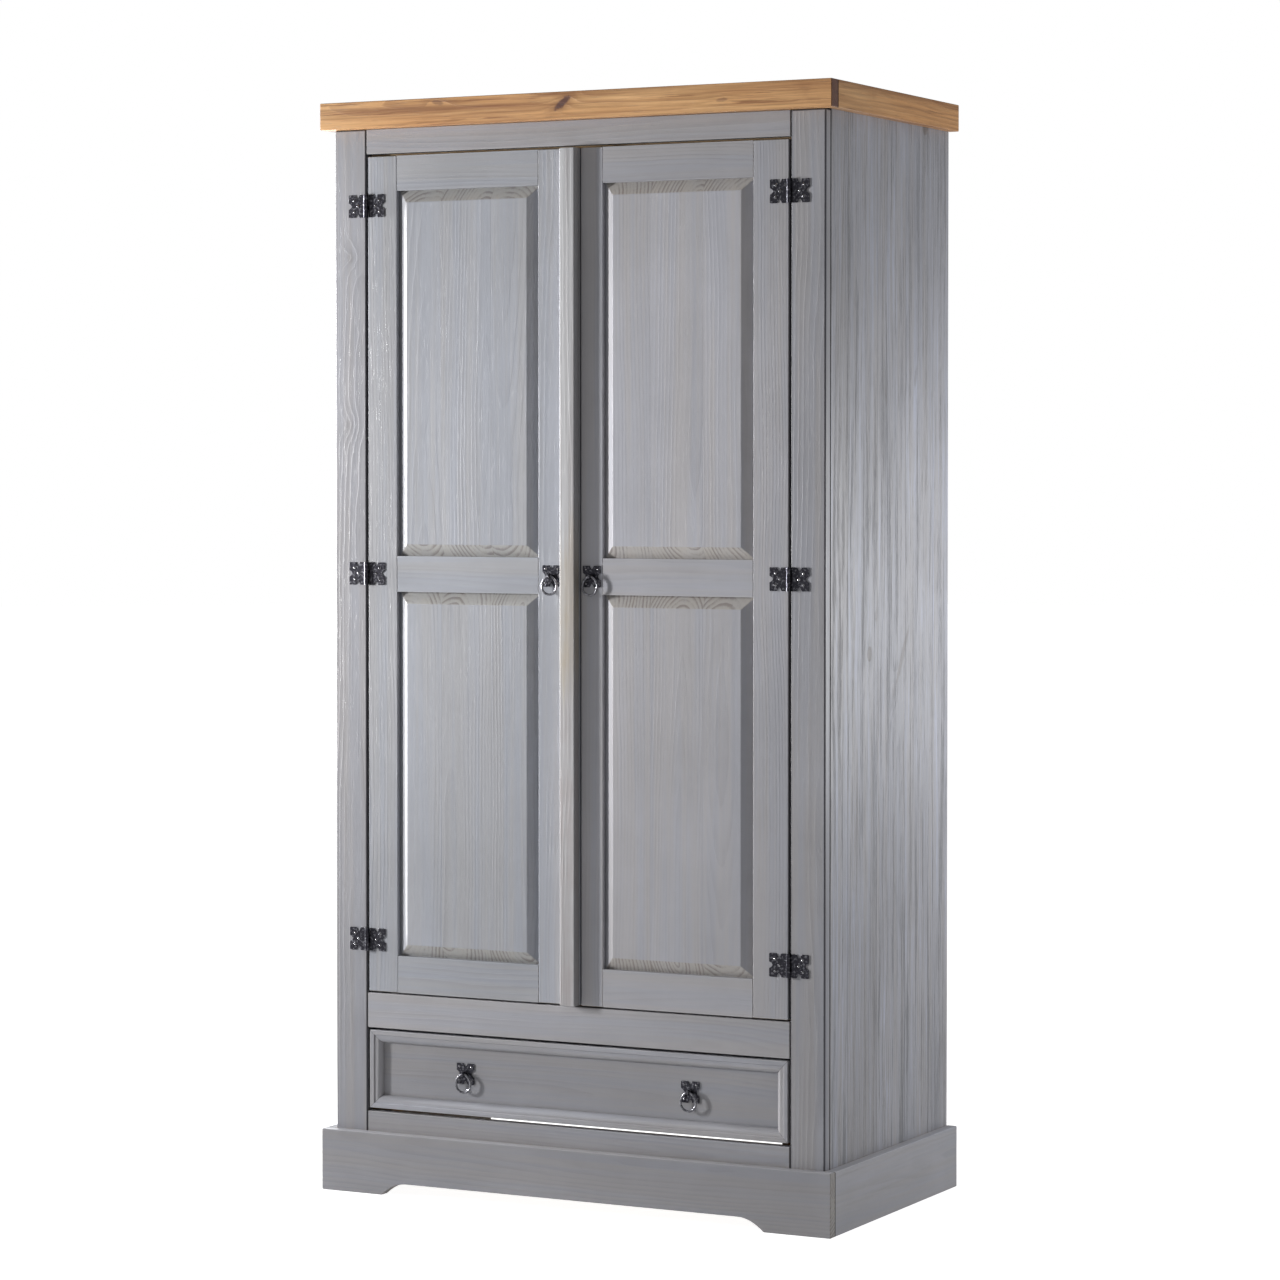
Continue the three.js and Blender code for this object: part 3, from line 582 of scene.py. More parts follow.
def next_seed():
    return round(SEEDS.uniform(3.0, 40.0), 3)


def finish_colour(board, finish, contrast, brushed, rub):
    if finish == "grey_wash":
        return washed_colour(board, contrast, brushed, rub)
    if finish == "waxed_pine":
        return waxed_colour(board)
    return bare_colour(board)


def surface_height(board, brushed, seam):
    """The height of the grain: hard rings stand up, and pores, brush marks and seams are sunk."""
    g = board.g
    height = g.plus(g.times(board.late, 0.9), g.times(board.fibre, 1.1))
    if brushed:
        height = g.minus(height, g.step(board.brush, 0.50, 0.70, 0.0, 2.2 * brushed))
    height = g.minus(height, g.times(board.pore, 0.6))
    return g.minus(height, g.times(board.joint, seam))


def board_material(node, finish, axes, stave=UNGLUED, knots=0.12, bare_face=None, contrast=0.35,
                   relief=1.0, brushed=0.0, rub=0.20, joints=(), creases=0.25, own_knots=(),
                   arris=0.0, tone=1.0, tint=None, seam=1.0, frame_member=False):
    """The material of one board: its finish over pine that grew as that board alone did.

    The faces given as (axis, sign) that meet a neighbour lie in its shade, and painted shade darkens them
    to the given share of their brightness near that face. seam is how plain the glued seams between staves
    are.
    """
    g = Surface(f"{finish}.{node}")
    board = Board(g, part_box(node), axes, next_seed(), stave, knots, frame_member, own_knots)
    if node.endswith("cover_strip"):
        colour = strip_colour(board)
        smoothest, roughest = STRIP_ROUGHNESS
    else:
        colour = finish_colour(board, finish, contrast, brushed, rub)
        smoothest, roughest = ROUGHNESS[finish]
    colour = g.scaled(colour, tone)
    if tint:
        colour = g.vector("MULTIPLY", colour, tint)
    if bare_face:
        inside = board.facing(*bare_face)
        colour = g.mix(inside, colour, bare_colour(board))
        # Painted shade on a side panel's inner face under the cupboard's floor.
        if node.startswith("side_panel"):
            colour = g.dimmed(colour, painted_shade_below_floor(board, inside), UNDER_FLOOR_SHADE_SHARE)
    colour = g.dimmed(colour, board.joint, 1.0 - SEAM_SHADE * seam)
    if frame_member:
        colour = g.dimmed(colour, board.mitre, 1.0 - MITRE_SHADE)
    # Painted shade on the rounded edges, along the corner between front and side that no lamp reaches.
    if arris:
        colour = g.mix(g.times(board.arris(), arris), colour, ARRIS_PAINTED_SHADE)
    # Painted shade in the creases where a board meets its neighbour.
    for axis, sign in joints:
        colour = g.dimmed(colour, board.crease(axis, sign, CREASE_SHADE_REACH), creases)
    bump = g.bump(surface_height(board, brushed, seam), GRAIN_RELIEF * relief, GRAIN_STRENGTH)
    return g.coat(colour, g.step(board.fibre, 0.2, 0.8, smoothest, roughest), bump)


# ---- Metal ---------------------------------------------------------------------------------

def make_black_iron():
    """Hammered iron, blackened and lacquered, with the high spots rubbed bright."""
    g = Surface("black_iron")
    place = g.object_place()
    hammered = g.noise(place, scale=230.0, detail=2.0, roughness=0.45)
    grit = g.noise(place, scale=1400.0, detail=3.0, roughness=0.6)
    rubbed = g.step(g.times_plus(grit, 0.35, hammered), 0.69, 0.86)
    colour = g.mix(g.times(rubbed, 0.55), IRON_BLACK, IRON_RUBBED)
    bump = g.bump(g.times_plus(grit, 0.12, hammered), 0.5 * MM, 0.32)
    return g.coat(colour, g.step(grit, 0.3, 0.7, 0.24, 0.40), bump, metallic=1.0)


def make_ring_iron():
    """The same iron on the rings, which hands keep bright."""
    g = Surface("ring_iron")
    place = g.object_place()
    patina = g.noise(place, scale=160.0, detail=3.0, roughness=0.6)
    grit = g.noise(place, scale=1600.0, detail=2.0)
    colour = g.mix(g.step(patina, 0.35, 0.65), RING_BRIGHT, RING_DULL)
    bump = g.bump(g.plus(patina, grit), 0.12 * MM, 0.5)
    return g.coat(colour, g.step(grit, 0.3, 0.7, 0.22, 0.36), bump, metallic=1.0)


def make_nail_iron():
    """Blackened nail heads, smooth enough to catch the light."""
    g = Surface("nail_iron")
    patina = g.noise(g.object_place(), scale=300.0, detail=3.0, roughness=0.6)
    colour = g.mix(g.step(patina, 0.40, 0.65), NAIL_BRIGHT, NAIL_DULL)
    bump = g.bump(patina, 0.25 * MM, 0.5)
    return g.coat(colour, g.step(patina, 0.3, 0.7, 0.12, 0.26), bump, metallic=1.0)


def make_bright_steel():
    """Plated tube and screws: drawn lines along X and a few dull spots."""
    g = Surface("bright_steel")
    place = g.object_place()
    drawn = g.noise(g.vector("MULTIPLY", place, (8.0, 900.0, 900.0)), detail=3.0)
    spots = g.noise(place, scale=45.0, detail=4.0, roughness=0.6)
    colour = g.mix(g.step(spots, 0.55, 0.75), STEEL_BRIGHT, STEEL_DULL)
    roughness = g.step(g.plus(drawn, spots), 0.7, 1.3, 0.14, 0.30)
    return g.coat(colour, roughness, g.bump(drawn, 0.04 * MM, 0.5), metallic=1.0)


def make_catch_plastic():
    """Moulded brown plastic with a fine matt skin."""
    g = Surface("catch_plastic")
    place = g.object_place()
    skin = g.noise(place, scale=2600.0, detail=2.0)
    colour = g.mix(g.noise(place, scale=60.0, detail=2.0), PLASTIC_DARK, PLASTIC_BROWN)
    return g.coat(colour, g.step(skin, 0.3, 0.7, 0.42, 0.56), g.bump(skin, 0.08 * MM, 0.6))


BLACK_IRON = make_black_iron()
RING_IRON = make_ring_iron()
NAIL_IRON = make_nail_iron()
BRIGHT_STEEL = make_bright_steel()
CATCH_PLASTIC = make_catch_plastic()


# ---- Edges and shading ---------------------------------------------------------------------

def make_smooth_group():
    """Shades faces smooth, and keeps edges sharper than Angle sharp."""
    tree = bpy.data.node_groups.new("smooth_by_angle", "GeometryNodeTree")
    tree.interface.new_socket("Geometry", in_out="INPUT", socket_type="NodeSocketGeometry")
    tree.interface.new_socket("Angle", in_out="INPUT", socket_type="NodeSocketFloat")
    tree.interface.new_socket("Geometry", in_out="OUTPUT", socket_type="NodeSocketGeometry")
    g = Graph(tree)
    given = g.add("NodeGroupInput").outputs
    result = g.add("NodeGroupOutput").inputs
    angle = g.add("GeometryNodeInputMeshEdgeAngle").outputs["Unsigned Angle"]
    compare = g.add("FunctionNodeCompare", data_type="FLOAT", operation="GREATER_THAN")
    g.put(compare.inputs[0], angle)
    g.put(compare.inputs[1], given["Angle"])
    faces = g.add("GeometryNodeSetShadeSmooth", domain="FACE")
    g.put(faces.inputs["Geometry"], given["Geometry"])
    g.put(faces.inputs["Shade Smooth"], True)
    edges = g.add("GeometryNodeSetShadeSmooth", domain="EDGE")
    g.put(edges.inputs["Geometry"], faces.outputs["Geometry"])
    g.put(edges.inputs["Selection"], compare.outputs["Result"])
    g.put(edges.inputs["Shade Smooth"], False)
    g.put(result["Geometry"], edges.outputs["Geometry"])
    return tree


SMOOTH = make_smooth_group()
WELD_DISTANCE = 0.01 * MM
FLAT_WITHIN = math.radians(0.4)
EASE_SEGMENTS = 2


def shade(piece, angle):
    modifier = piece.modifiers.new("smooth", "NODES")
    modifier.node_group = SMOOTH
    socket = next(s for s in SMOOTH.interface.items_tree if s.name == "Angle")
    modifier[socket.identifier] = math.radians(angle)


def weld(piece):
    """Joins the split vertices along a CAD mesh's edges."""
    piece.modifiers.new("weld", "WELD").merge_threshold = WELD_DISTANCE


def ease(piece, width, sharper=32, smooth=50):
    """Rounds a piece's edges: its split vertices are welded and its flat faces joined first."""
    weld(piece)
    flat = piece.modifiers.new("flat", "DECIMATE")
    flat.decimate_type = "DISSOLVE"
    flat.angle_limit = FLAT_WITHIN
    bevel = piece.modifiers.new("ease", "BEVEL")
    bevel.width = width
    bevel.segments = EASE_SEGMENTS
    bevel.limit_method = "ANGLE"
    bevel.angle_limit = math.radians(sharper)
    bevel.miter_outer = "MITER_ARC"
    shade(piece, smooth)
    weighted = piece.modifiers.new("weighted", "WEIGHTED_NORMAL")
    weighted.keep_sharp = True


def dress(node, material):
    """Gives a CAD node its material in place of the one it came with."""
    piece = NODES[node]
    piece.data.materials.clear()
    piece.data.materials.append(material)
    return piece


# ---- The boards ----------------------------------------------------------------------------

# The axes along a board, across its face and through it.
UPRIGHT = "zxy"
LEVEL = "xzy"
SIDE_UPRIGHT = "zyx"
SIDE_LEVEL = "yzx"
SHELF = "xyz"
RUNNER = "yxz"
EASED = 1.6 * MM
SMALL_EASED = 0.6 * MM
IRON_EASED = 0.35 * MM
STEEL_EASED = 0.25 * MM
ENDS = (("x", 1), ("x", -1))


def grey(node, axes, eased=EASED, **settings):
    ease(dress(node, board_material(node, "grey_wash", axes, **settings)), eased)


def bare(node, axes, **settings):
    ease(dress(node, board_material(node, "bare_pine", axes, **settings)), SMALL_EASED)


def waxed(node, axes, **settings):
    ease(dress(node, board_material(node, "waxed_pine", axes, **settings)), EASED)


# Knots and spike knots of a side panel: (y, z) in metres, half length and half width in
# millimetres, lean and darkness.
SIDE_KNOTS = (
    (0.122, 1.407, 24, 6, 0.25, 0.55), (-0.003, 1.371, 22, 4, -0.18, 0.60),
    (0.066, 0.932, 66, 7, 0.50, 0.80), (0.030, 0.876, 14, 9, 0.10, 0.35),
    (-0.044, 1.005, 14, 4, 0.00, 0.75), (-0.207, 1.048, 40, 10, 0.10, 0.30),
    (-0.127, 0.652, 46, 9, 0.00, 0.28), (-0.027, 1.712, 30, 4, -0.20, 0.30))
STILE_KNOTS = (Knot((-0.435, 0, 1.614), 11 * MM, 9 * MM, 0.0, 0.28),
               Knot((-0.439, 0, 1.325), 12 * MM, 10 * MM, 0.0, 0.26))
CORNICE_KNOTS = (Knot((-0.009, 0, 1.861), 21 * MM, 7 * MM, 0.62, 0.95),
                 Knot((-0.250, 0, 1.872), 13 * MM, 5 * MM, -0.20, 0.45),
                 Knot((0.288, 0, 1.853), 12 * MM, 3.5 * MM, 0.10, 0.40))
SIDE_STAVE = 118 * MM
TOP_STAVE = 110 * MM
FLOOR_STAVE = 98 * MM
PANEL_STAVE = 97 * MM
DRAWER_FRONT_STAVE = 200 * MM
DRAWER_BOTTOM_STAVE = 300 * MM
BACK_BOARDS = 10


def side_knots(outward):
    """The knots of the side panel that faces that way along X."""
    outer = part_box("side_panel_right")[1].x * outward
    return [Knot((outer, y, z), length * MM, width * MM, lean, darkness)
            for y, z, length, width, lean, darkness in SIDE_KNOTS]


def dress_carcass():
    stile_knots = {"left": STILE_KNOTS, "right": ()}
    stile_tones = {"left": 0.88, "right": 0.87}
    for side, inward in (("left", 1), ("right", -1)):
        # Faces that meet a neighbour are darkened with painted shade in the crease.
        grey(f"side_panel_{side}", SIDE_UPRIGHT, stave=SIDE_STAVE, knots=0.05,
             bare_face=("x", inward), contrast=1.1, brushed=1.50, relief=2.1,
             own_knots=side_knots(-inward), joints=(("y", -1),), creases=0.20)
        # A face stile's rounded corner is darkened with painted shade.
        grey(f"face_stile_{side}", UPRIGHT, eased=CORNER_EASED, knots=0.05, bare_face=("y", 1),
             contrast=0.5, rub=0.0, arris=0.90, tone=stile_tones[side],
             own_knots=stile_knots[side], joints=(("x", inward),), creases=0.55)
        grey(f"plinth_{side}", SIDE_LEVEL, bare_face=("x", inward), contrast=0.6, brushed=0.30,
             joints=(("y", -1),))
        waxed(f"cornice_{side}", SIDE_LEVEL, knots=0.10, tone=1.05, joints=(("y", -1),))
        # The runners' tone of 0.35 is painted shade: it darkens them where they show under the drawer.
        bare(f"drawer_runner_{side}", RUNNER, knots=0.1, tone=0.35)
    # The bottom rail and the plinth front are darker towards the bottom: partly their own tones and partly
    # painted shade of the light falling off.
    for level, tone in (("top", 0.93), ("middle", 0.99), ("bottom", 0.86)):
        grey(f"face_rail_{level}", LEVEL, knots=0.05, bare_face=("y", 1), joints=ENDS, tone=tone)
    grey("plinth_front", LEVEL, bare_face=("y", 1), brushed=0.10, rub=0.10, tone=0.80)
    waxed("cornice_front", LEVEL, knots=0.08, own_knots=CORNICE_KNOTS, tone=1.16)
    waxed("top_panel", SHELF, stave=TOP_STAVE, knots=0.22, bare_face=("z", -1))
    low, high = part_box("back_panel")
    bare("back_panel", UPRIGHT, stave=(high.x - low.x) / BACK_BOARDS, knots=0.45)
    bare("cabinet_floor", SHELF, stave=FLOOR_STAVE, knots=0.30)


def dress_doors():
    # The right door's lock stile is lightened with painted light, where it lies in the cover strip's
    # shadow; the hinge stile's number is its own tone.
    stile_tones_and_painted_light = {"right_door_lock_stile": 1.19, "left_door_hinge_stile": 0.96}
    panels = {"left_upper": 1.05, "left_lower": 1.01, "right_upper": 1.13, "right_lower": 1.04}
    for side, outward, tint in (("left", -1, LEFT_DOOR_TINT), ("right", 1, None)):
        for stile in ("hinge", "lock"):
            node = f"{side}_door_{stile}_stile"
            # A hinge stile's outer face gets painted shade where it meets the carcass.
            grey(node, UPRIGHT, knots=0.04, creases=0.55, tone=stile_tones_and_painted_light.get(node, 1.0), tint=tint,
                 joints=(("x", outward),) if stile == "hinge" else ())
        for level in ("top", "middle", "bottom"):
            grey(f"{side}_door_{level}_rail", LEVEL, knots=0.05, joints=ENDS, tint=tint)
        for level in ("upper", "lower"):
            # The panels' edges get more of the lightening, which is partly a painted highlight on the
            # bevels.
            grey(f"{side}_door_{level}_panel", UPRIGHT, stave=PANEL_STAVE, knots=0.0, contrast=0.34,
                 brushed=0.08, relief=0.6, rub=0.45, seam=0.25, tint=tint,
                 tone=panels[f"{side}_{level}"])
    # The strip's right-hand face lies in shade, and it is darkened with painted shade as well.
    grey("left_door_cover_strip", UPRIGHT, knots=0.03, tone=0.88, joints=(("x", 1),), creases=0.72)


def dress_drawer():
    # The drawer front's tone of 0.79 is partly its own and partly painted shade of the light falling off
    # low down.
    grey("drawer_front", LEVEL, stave=DRAWER_FRONT_STAVE, knots=0.02, bare_face=("y", 1), tone=0.79)
    material = board_material("drawer_moulding", "grey_wash", LEVEL, frame_member=True, rub=0.4,
                              tone=0.93)
    ease(dress("drawer_moulding", material), SMALL_EASED, sharper=40)
    for side in ("left", "right"):
        bare(f"drawer_side_{side}", SIDE_LEVEL, knots=0.25)
    bare("drawer_back", LEVEL, knots=0.2)
    bare("drawer_bottom", SHELF, stave=DRAWER_BOTTOM_STAVE, knots=0.08)


def dress_metal():
    for node in NODES:
        if node.endswith(("_leaf", "_plate")):
            ease(dress(node, BLACK_IRON), IRON_EASED, sharper=40, smooth=45)
        if node.endswith("_ring"):
            ring = dress(node, RING_IRON)
            weld(ring)
            shade(ring, 80)
    ease(dress("hanging_rail", BRIGHT_STEEL), STEEL_EASED, sharper=60, smooth=40)


# ---- New pieces ----------------------------------------------------------------------------

def turned(mesh, profile, matrix, steps):
    """Turns profile, (radius, height) points from axis to axis, about matrix's Z."""
    rows = []
    for radius, height in profile:
        angles = [2 * math.pi * i / steps for i in range(steps)] if radius else [0]
        ring = [Vector((radius * math.cos(a), radius * math.sin(a), height)) for a in angles]
        rows.append([mesh.verts.new(matrix @ point) for point in ring])
    for first, second in zip(rows, rows[1:]):
        for i in range(steps):
            corners = [first[i % len(first)], first[(i + 1) % len(first)],
                       second[(i + 1) % len(second)], second[i % len(second)]]
            unique = list(dict.fromkeys(corners))
            if len(unique) > 2:
                mesh.faces.new(unique)


def box_in(mesh, low, high):
    """Adds a box from corner to corner."""
    middle, size = (low + high) / 2, high - low
    matrix = Matrix.Translation(middle) @ Matrix.Diagonal((*size, 1))
    bmesh.ops.create_cube(mesh, size=1, matrix=matrix)


def in_scene(name, data):
    """A new object of that data."""
    made = bpy.data.objects.new(name, data)
    bpy.context.scene.collection.objects.link(made)
    return made


def object_from(mesh, name, material):
    """A new object of a finished bmesh."""
    data = bpy.data.meshes.new(name)
    mesh.to_mesh(data)
    mesh.free()
    data.materials.append(material)
    return in_scene(name, data)


def piece_from(mesh, name, material, body):
    """A new piece that rides on its body."""
    bmesh.ops.recalc_face_normals(mesh, faces=mesh.faces)
    piece = object_from(mesh, name, material)
    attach(piece, body)
    return piece


FORWARD = (0, -1, 0)
BACKWARD = (0, 1, 0)


def facing(direction):
    """A turn that takes +Z to that way."""
    return Vector((0, 0, 1)).rotation_difference(Vector(direction)).to_matrix().to_4x4()


# Half sections as (radius, height), in millimetres.
NAIL_PROFILE = [(0, 1.9), (1.05, 1.74), (1.95, 1.24), (2.6, 0.52), (2.9, 0.0), (2.7, -0.3), (0, -0.3)]
SCREW_PROFILE = [(0, 0.75), (0.45, 0.75), (0.45, 1.35), (1.6, 1.25), (2.6, 0.8), (3.3, 0.0),
                 (3.3, -0.2), (0, -0.2)]
NAIL_STEPS = 14
SCREW_STEPS = 18
HINGE_LEAF_STOCK = 1.4 * MM
PULL_PLATE_STOCK = 1.5 * MM
LEAF_NAILS = ((10.5 * MM, 9.6 * MM), (10.5 * MM, -9.6 * MM), (18.2 * MM, 0.0))
NAIL_TILT = 0.09
PULL_NAIL_SCALE = 0.75 * MM
PULL_NAIL_OUT = 0.66


def scaled_profile(profile, scale):
    return [(radius * scale, height * scale) for radius, height in profile]


def add_hinge_nails():
    """Three domed nails hold each hinge leaf. Their heads aren't quite alike."""
    jitter = random.Random(7)
    for side, outward in (("left", -1), ("right", 1)):
        for level in ("upper", "middle", "lower"):
            for leaf, way, body in (("frame", outward, "root"), ("door", -outward, f"{side}_door")):
                low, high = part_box(f"{side}_hinge_{level}_{leaf}_leaf")
                end = high.x if way > 0 else low.x
                middle = (low.z + high.z) / 2
                face = high.y - HINGE_LEAF_STOCK
                mesh = bmesh.new()
                for inset, rise in LEAF_NAILS:
                    place = Vector((end - way * inset, face, middle + rise))
                    tilt = Matrix.Rotation(jitter.uniform(-NAIL_TILT, NAIL_TILT), 4, "X")
                    size = jitter.uniform(0.92, 1.08) * MM
                    turned(mesh, scaled_profile(NAIL_PROFILE, size),
                           Matrix.Translation(place) @ facing(FORWARD) @ tilt, NAIL_STEPS)
                name = f"{side}_hinge_{level}_{leaf}_nails"
                shade(piece_from(mesh, name, NAIL_IRON, body), 50)


def add_pull_nails():
    """A small nail holds each of the four lobes of a pull's plate."""
    for pull, body in (("left_door", "left_door"), ("right_door", "right_door"),
                       ("drawer_left", "drawer"), ("drawer_right", "drawer")):
        low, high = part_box(f"{pull}_pull_plate")
        middle = (low + high) / 2
        out = PULL_NAIL_OUT * (high.x - low.x) / 2
        rise = PULL_NAIL_OUT * (high.z - low.z) / 2
        face = high.y - PULL_PLATE_STOCK
        profile = scaled_profile(NAIL_PROFILE, PULL_NAIL_SCALE)
        mesh = bmesh.new()
        for across in (-1, 1):
            for up in (-1, 1):
                place = Vector((middle.x + across * out, face, middle.z + up * rise))
                turned(mesh, profile, Matrix.Translation(place) @ facing(FORWARD), NAIL_STEPS)
        shade(piece_from(mesh, f"{pull}_pull_nails", NAIL_IRON, body), 50)


SOCKET_PLAY = 0.4 * MM
SOCKET_WALL = 2.0 * MM
SOCKET_DEPTH = 12 * MM
SOCKET_LIP = 0.6 * MM
FLANGE_REACH = 14 * MM
FLANGE_FACE = 2.2 * MM
SOCKET_SCREWS = 3
SOCKET_SCREW_OUT = 8.5 * MM
SOCKET_SCREW_SCALE = 0.75 * MM
SOCKET_STEPS = 40
TOUCHING_GAP = 0.3 * MM


def socket_profile(radius):
    """The half section of a cup for a rail of that radius, with a flange against the wood."""
    inner = radius + SOCKET_PLAY
    outer = inner + SOCKET_WALL
    flange = radius + FLANGE_REACH
    lip = SOCKET_DEPTH + SOCKET_LIP
    return [(inner, SOCKET_DEPTH), (inner + SOCKET_LIP, lip), (outer - SOCKET_LIP, lip),
            (outer, SOCKET_DEPTH), (outer + 0.5 * MM, 4 * MM), (outer + 2 * MM, 2.6 * MM),
            (flange - 1 * MM, FLANGE_FACE), (flange, 1.4 * MM), (flange, TOUCHING_GAP),
            (inner, TOUCHING_GAP), (inner, SOCKET_DEPTH)]


def add_rail_sockets():
    """A flanged cup at each end of the hanging rail, held by three screws."""
    low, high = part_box("hanging_rail")
    middle = (low + high) / 2
    radius = (high.z - low.z) / 2
    screw_radius = radius + SOCKET_SCREW_OUT
    ends = {"left": (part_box("side_panel_left")[1].x, 1), "right": (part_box("side_panel_right")[0].x, -1)}
    for side, (end, inward) in ends.items():
        matrix = Matrix.Translation((end, middle.y, middle.z)) @ facing((inward, 0, 0))
        mesh = bmesh.new()
        turned(mesh, socket_profile(radius), matrix, SOCKET_STEPS)
        bmesh.ops.remove_doubles(mesh, verts=mesh.verts, dist=0.001 * MM)
        shade(piece_from(mesh, f"rail_socket_{side}", BRIGHT_STEEL, "root"), 40)
        screws = bmesh.new()
        profile = scaled_profile(SCREW_PROFILE, SOCKET_SCREW_SCALE)
        for i in range(SOCKET_SCREWS):
            angle = math.radians(90 + i * 360 / SOCKET_SCREWS)
            spot = (screw_radius * math.cos(angle), screw_radius * math.sin(angle), FLANGE_FACE)
            turned(screws, profile, matrix @ Matrix.Translation(spot), SCREW_STEPS)
        name = f"rail_socket_screws_{side}"
        shade(piece_from(screws, name, BRIGHT_STEEL, "root"), 40)


BATTEN_KNOTS = 0.2
BATTEN_EASED = 1.0 * MM
BATTEN_RELIEF = 0.2 * MM
CLEAT_HEIGHT = 30 * MM
CLEAT_STOCK = 24 * MM
STOP_LAP = 12 * MM
STOP_STOCK = 20 * MM
DOOR_PLAY = 1.2 * MM
CLEAT_PLAY = 1 * MM


def add_batten(name, low, high):
    """A planed strip of pine that lies level, eased along its edges."""
    low, high = Vector(low), Vector(high)
    g = Surface(f"bare_pine.{name}")
    board = Board(g, (low, high), LEVEL, next_seed(), UNGLUED, BATTEN_KNOTS)
    bump = g.bump(g.plus(board.late, board.fibre), BATTEN_RELIEF, GRAIN_STRENGTH)
    roughness = g.step(board.fibre, 0.2, 0.8, *ROUGHNESS["bare_pine"])
    material = g.coat(bare_colour(board), roughness, bump)
    mesh = bmesh.new()
    box_in(mesh, low, high)
    ease(piece_from(mesh, name, material, "root"), BATTEN_EASED)


def door_stop_low():
    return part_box("left_door_top_rail")[1].z - STOP_LAP


def add_inner_timber():
    """The cleat that stiffens the top behind the cornice, and the batten that stops the doors."""
    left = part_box("side_panel_left")[1].x + TOUCHING_GAP
    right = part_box("side_panel_right")[0].x - TOUCHING_GAP
    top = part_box("top_panel")[0].z - TOUCHING_GAP
    behind_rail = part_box("face_rail_top")[1].y + TOUCHING_GAP
    behind_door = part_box("left_door_top_rail")[1].y
    cleat_low = top - CLEAT_HEIGHT
    add_batten("top_cleat", (left, behind_rail, cleat_low), (right, behind_rail + CLEAT_STOCK, top))
    add_batten("door_stop_batten", (left, behind_door + DOOR_PLAY, door_stop_low()),
               (right, behind_door + STOP_STOCK, cleat_low - CLEAT_PLAY))


BACK_SCREW_ROWS = 9
BACK_SCREW_INSET = 9 * MM
BACK_SCREW_SCALE = 0.6 * MM
BACK_SCREW_STEPS = 16


def add_back_screws():
    """Screws along the back panel's edges."""
    low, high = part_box("back_panel")
    first = low.z + BACK_SCREW_INSET
    pitch = (high.z - low.z - 2 * BACK_SCREW_INSET) / (BACK_SCREW_ROWS - 1)
    profile = scaled_profile(SCREW_PROFILE, BACK_SCREW_SCALE)
    mesh = bmesh.new()
    for x in (low.x + BACK_SCREW_INSET, high.x - BACK_SCREW_INSET):
        for i in range(BACK_SCREW_ROWS):
            place = Matrix.Translation((x, high.y, first + i * pitch))
            turned(mesh, profile, place @ facing(BACKWARD), BACK_SCREW_STEPS)
    shade(piece_from(mesh, "back_panel_screws", BRIGHT_STEEL, "root"), 40)


def rounded_block(mesh, low, high, radius):
    """A block whose edges are all round, as moulded parts are."""
    start = len(mesh.verts)
    box_in(mesh, low, high)
    fresh = mesh.verts[:][start:]
    edges = {edge for vert in fresh for edge in vert.link_edges}
    bmesh.ops.bevel(mesh, geom=list(edges), offset=radius, segments=3, profile=0.5, affect="EDGES")


CATCH_PLACE = 45 * MM
CATCH_HALF_WIDTH = 20 * MM
CATCH_DEPTH = (2.4 * MM, 17 * MM)
CATCH_DROP = (13.5 * MM, 0.4 * MM)
CATCH_ROUND = 1.6 * MM
STRIKE_HALF_WIDTH = 17 * MM
STRIKE_DEPTH = (0.25 * MM, 1.6 * MM)
STRIKE_DROP = (12.5 * MM, 1.5 * MM)
STRIKE_ROUND = 0.5 * MM


def catch_block(x, back, half_width, depth, drop, radius):
    """A block behind a door and under the stop batten: depth is from the door, drop from the batten."""
    mesh = bmesh.new()
    under = door_stop_low()
    rounded_block(mesh, Vector((x - half_width, back + depth[0], under - drop[0])),
                  Vector((x + half_width, back + depth[1], under - drop[1])), radius)
    return mesh


def add_catches():
    """Each door has a magnetic catch under the top rail's batten, and a steel strike on it."""
    for side, sign in (("left", -1), ("right", 1)):
        x = sign * CATCH_PLACE
        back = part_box(f"{side}_door_lock_stile")[1].y
        catch = catch_block(x, back, CATCH_HALF_WIDTH, CATCH_DEPTH, CATCH_DROP, CATCH_ROUND)
        shade(piece_from(catch, f"{side}_catch_body", CATCH_PLASTIC, "root"), 40)
        strike = catch_block(x, back, STRIKE_HALF_WIDTH, STRIKE_DEPTH, STRIKE_DROP, STRIKE_ROUND)
        name = f"{side}_catch_strike"
        shade(piece_from(strike, name, BRIGHT_STEEL, f"{side}_door"), 40)


# ---- Stage ---------------------------------------------------------------------------------

SENSOR_WIDTH = 36
CLIP_END = 100


def set_camera():
    data = bpy.data.cameras.new("camera")
    camera = in_scene("camera", data)
    camera.location = (CAMERA_DISTANCE * math.sin(CAMERA_AZIMUTH),
                       -CAMERA_DISTANCE * math.cos(CAMERA_AZIMUTH), CAMERA_HEIGHT)
    camera.rotation_euler = (math.pi / 2 + CAMERA_TILT, 0, CAMERA_AZIMUTH)
    data.sensor_width = SENSOR_WIDTH
    data.lens = CAMERA_LENS
    data.shift_y = CAMERA_SHIFT_Y
    data.clip_end = CLIP_END
    bpy.context.scene.camera = camera


def add_softbox(name, place, target, size, power, tint=(1, 1, 1), spread=180):
    data = bpy.data.lights.new(name, "AREA")
    data.shape = "RECTANGLE"
    data.size, data.size_y = size
    data.energy = power
    data.color = tint
    data.spread = math.radians(spread)
    light = in_scene(name, data)
    light.location = place
    light.rotation_euler = (Vector(target) - Vector(place)).to_track_quat("-Z", "Y").to_euler()
    light.visible_camera = False
    return light


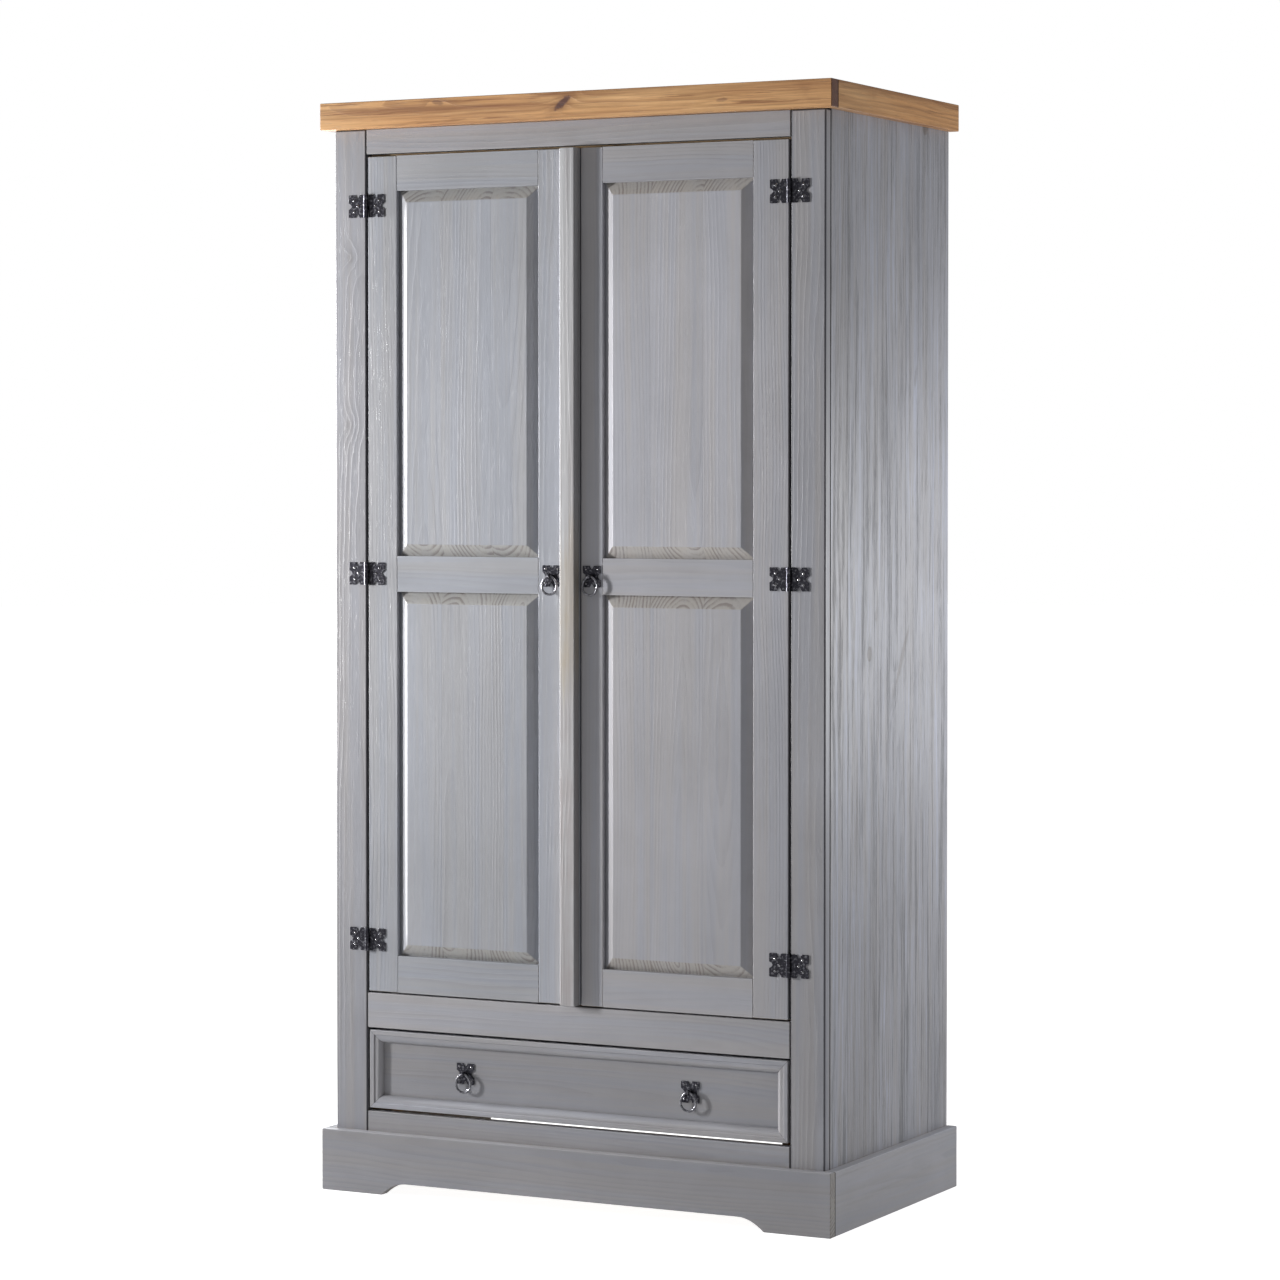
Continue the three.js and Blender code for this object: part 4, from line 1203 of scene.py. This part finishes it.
def spare(light, nodes):
    """Keeps a lamp that skims the front off the side that it would strike squarely."""
    spared = bpy.data.collections.new(f"{light.name}_spares")
    for node in nodes:
        spared.objects.link(NODES[node])
    light.light_linking.receiver_collection = spared
    for item in spared.collection_objects:
        item.light_linking.link_state = "EXCLUDE"


# Lamps in metres: how far to the side, how far ahead of the front or behind the middle, how high.
KEY_OUT, KEY_AHEAD, KEY_HEIGHT = 3.4, 1.55, 1.25
KEY_AIM_X, KEY_AIM_Z = 0.25, 1.20
KEY_SIZE = (0.32, 0.90)
KEY_POWER = 24.5
KEY_TINT = (1.0, 0.995, 0.99)
KEY_SPREAD = 65
RIM_OUT, RIM_AHEAD, RIM_HEIGHT = 2.6, 0.03, 1.25
RIM_AIM_Z = 1.15
RIM_SIZE = (0.15, 1.20)
RIM_POWER = 46
RIM_SPREAD = 100
SIDE_OUT, SIDE_BEHIND, SIDE_HEIGHT = 1.35, 0.90, 0.98
SIDE_AIM_Z = 1.02
SIDE_SIZE = (0.50, 0.65)
SIDE_POWER = 11.8
SIDE_TINT = (0.96, 0.975, 1.0)
SPARED = ("side_panel_left", "cornice_left", "plinth_left", "drawer_side_left")


def add_lights():
    """A key and a rim that skim the front from the left, and a softbox for each side."""
    front = CAD_BOX[0].y
    side = CAD_BOX[1].x
    key = add_softbox("key_strip", (-KEY_OUT, front - KEY_AHEAD, KEY_HEIGHT),
                      (KEY_AIM_X, front, KEY_AIM_Z), KEY_SIZE, KEY_POWER, KEY_TINT, KEY_SPREAD)
    rim = add_softbox("rim_strip", (-RIM_OUT, front - RIM_AHEAD, RIM_HEIGHT),
                      (0, front, RIM_AIM_Z), RIM_SIZE, RIM_POWER, spread=RIM_SPREAD)
    for name, sign in (("side_light", 1), ("far_side_light", -1)):
        add_softbox(name, (sign * SIDE_OUT, SIDE_BEHIND, SIDE_HEIGHT), (sign * side, 0, SIDE_AIM_Z),
                    SIDE_SIZE, SIDE_POWER, SIDE_TINT)
    for light in (key, rim):
        spare(light, SPARED)


def set_world():
    """White to the eye, and dimmer as a light, so that the lamps shape the object."""
    world = bpy.data.worlds.new("studio")
    bpy.context.scene.world = world
    world.use_nodes = True
    g = Graph(world.node_tree)
    background = next(node for node in world.node_tree.nodes if node.type == "BACKGROUND")
    seen = g.add("ShaderNodeLightPath").outputs["Is Camera Ray"]
    g.put(background.inputs["Color"], (1, 1, 1, 1))
    g.put(background.inputs["Strength"], g.times_plus(seen, 1.0 - ROOM_LIGHT, ROOM_LIGHT))
    view = bpy.context.scene.view_settings
    view.view_transform = "Standard"
    view.look = "None"


FLOOR_RADIUS = 30
FLOOR_DROP = 0.5 * MM
FLOOR_ROUGHNESS = 0.8


def add_floor():
    """A pale studio floor that ends far outside the view."""
    g = Surface("studio_floor")
    tone = g.noise(g.object_place(), scale=3.0, detail=3.0)
    seen = g.add("ShaderNodeLightPath").outputs["Is Camera Ray"]
    glow = g.times_plus(seen, FLOOR_SEEN - FLOOR_GLOW, FLOOR_GLOW)
    g.put(g.shader.inputs["Emission Color"], (1, 1, 1, 1))
    g.put(g.shader.inputs["Emission Strength"], glow)
    colour = g.mix(tone, (FLOOR_TONE * 0.98,) * 3, (FLOOR_TONE,) * 3)
    mesh = bmesh.new()
    bmesh.ops.create_circle(mesh, cap_ends=True, radius=FLOOR_RADIUS, segments=64)
    floor = object_from(mesh, "studio_floor", g.coat(colour, FLOOR_ROUGHNESS))
    floor.location.z = -FLOOR_DROP


# ---- The armoire ---------------------------------------------------------------------------

set_camera()
set_world()
add_lights()
add_floor()
dress_carcass()
dress_doors()
dress_drawer()
dress_metal()
add_hinge_nails()
add_pull_nails()
add_rail_sockets()
add_inner_timber()
add_back_screws()
add_catches()
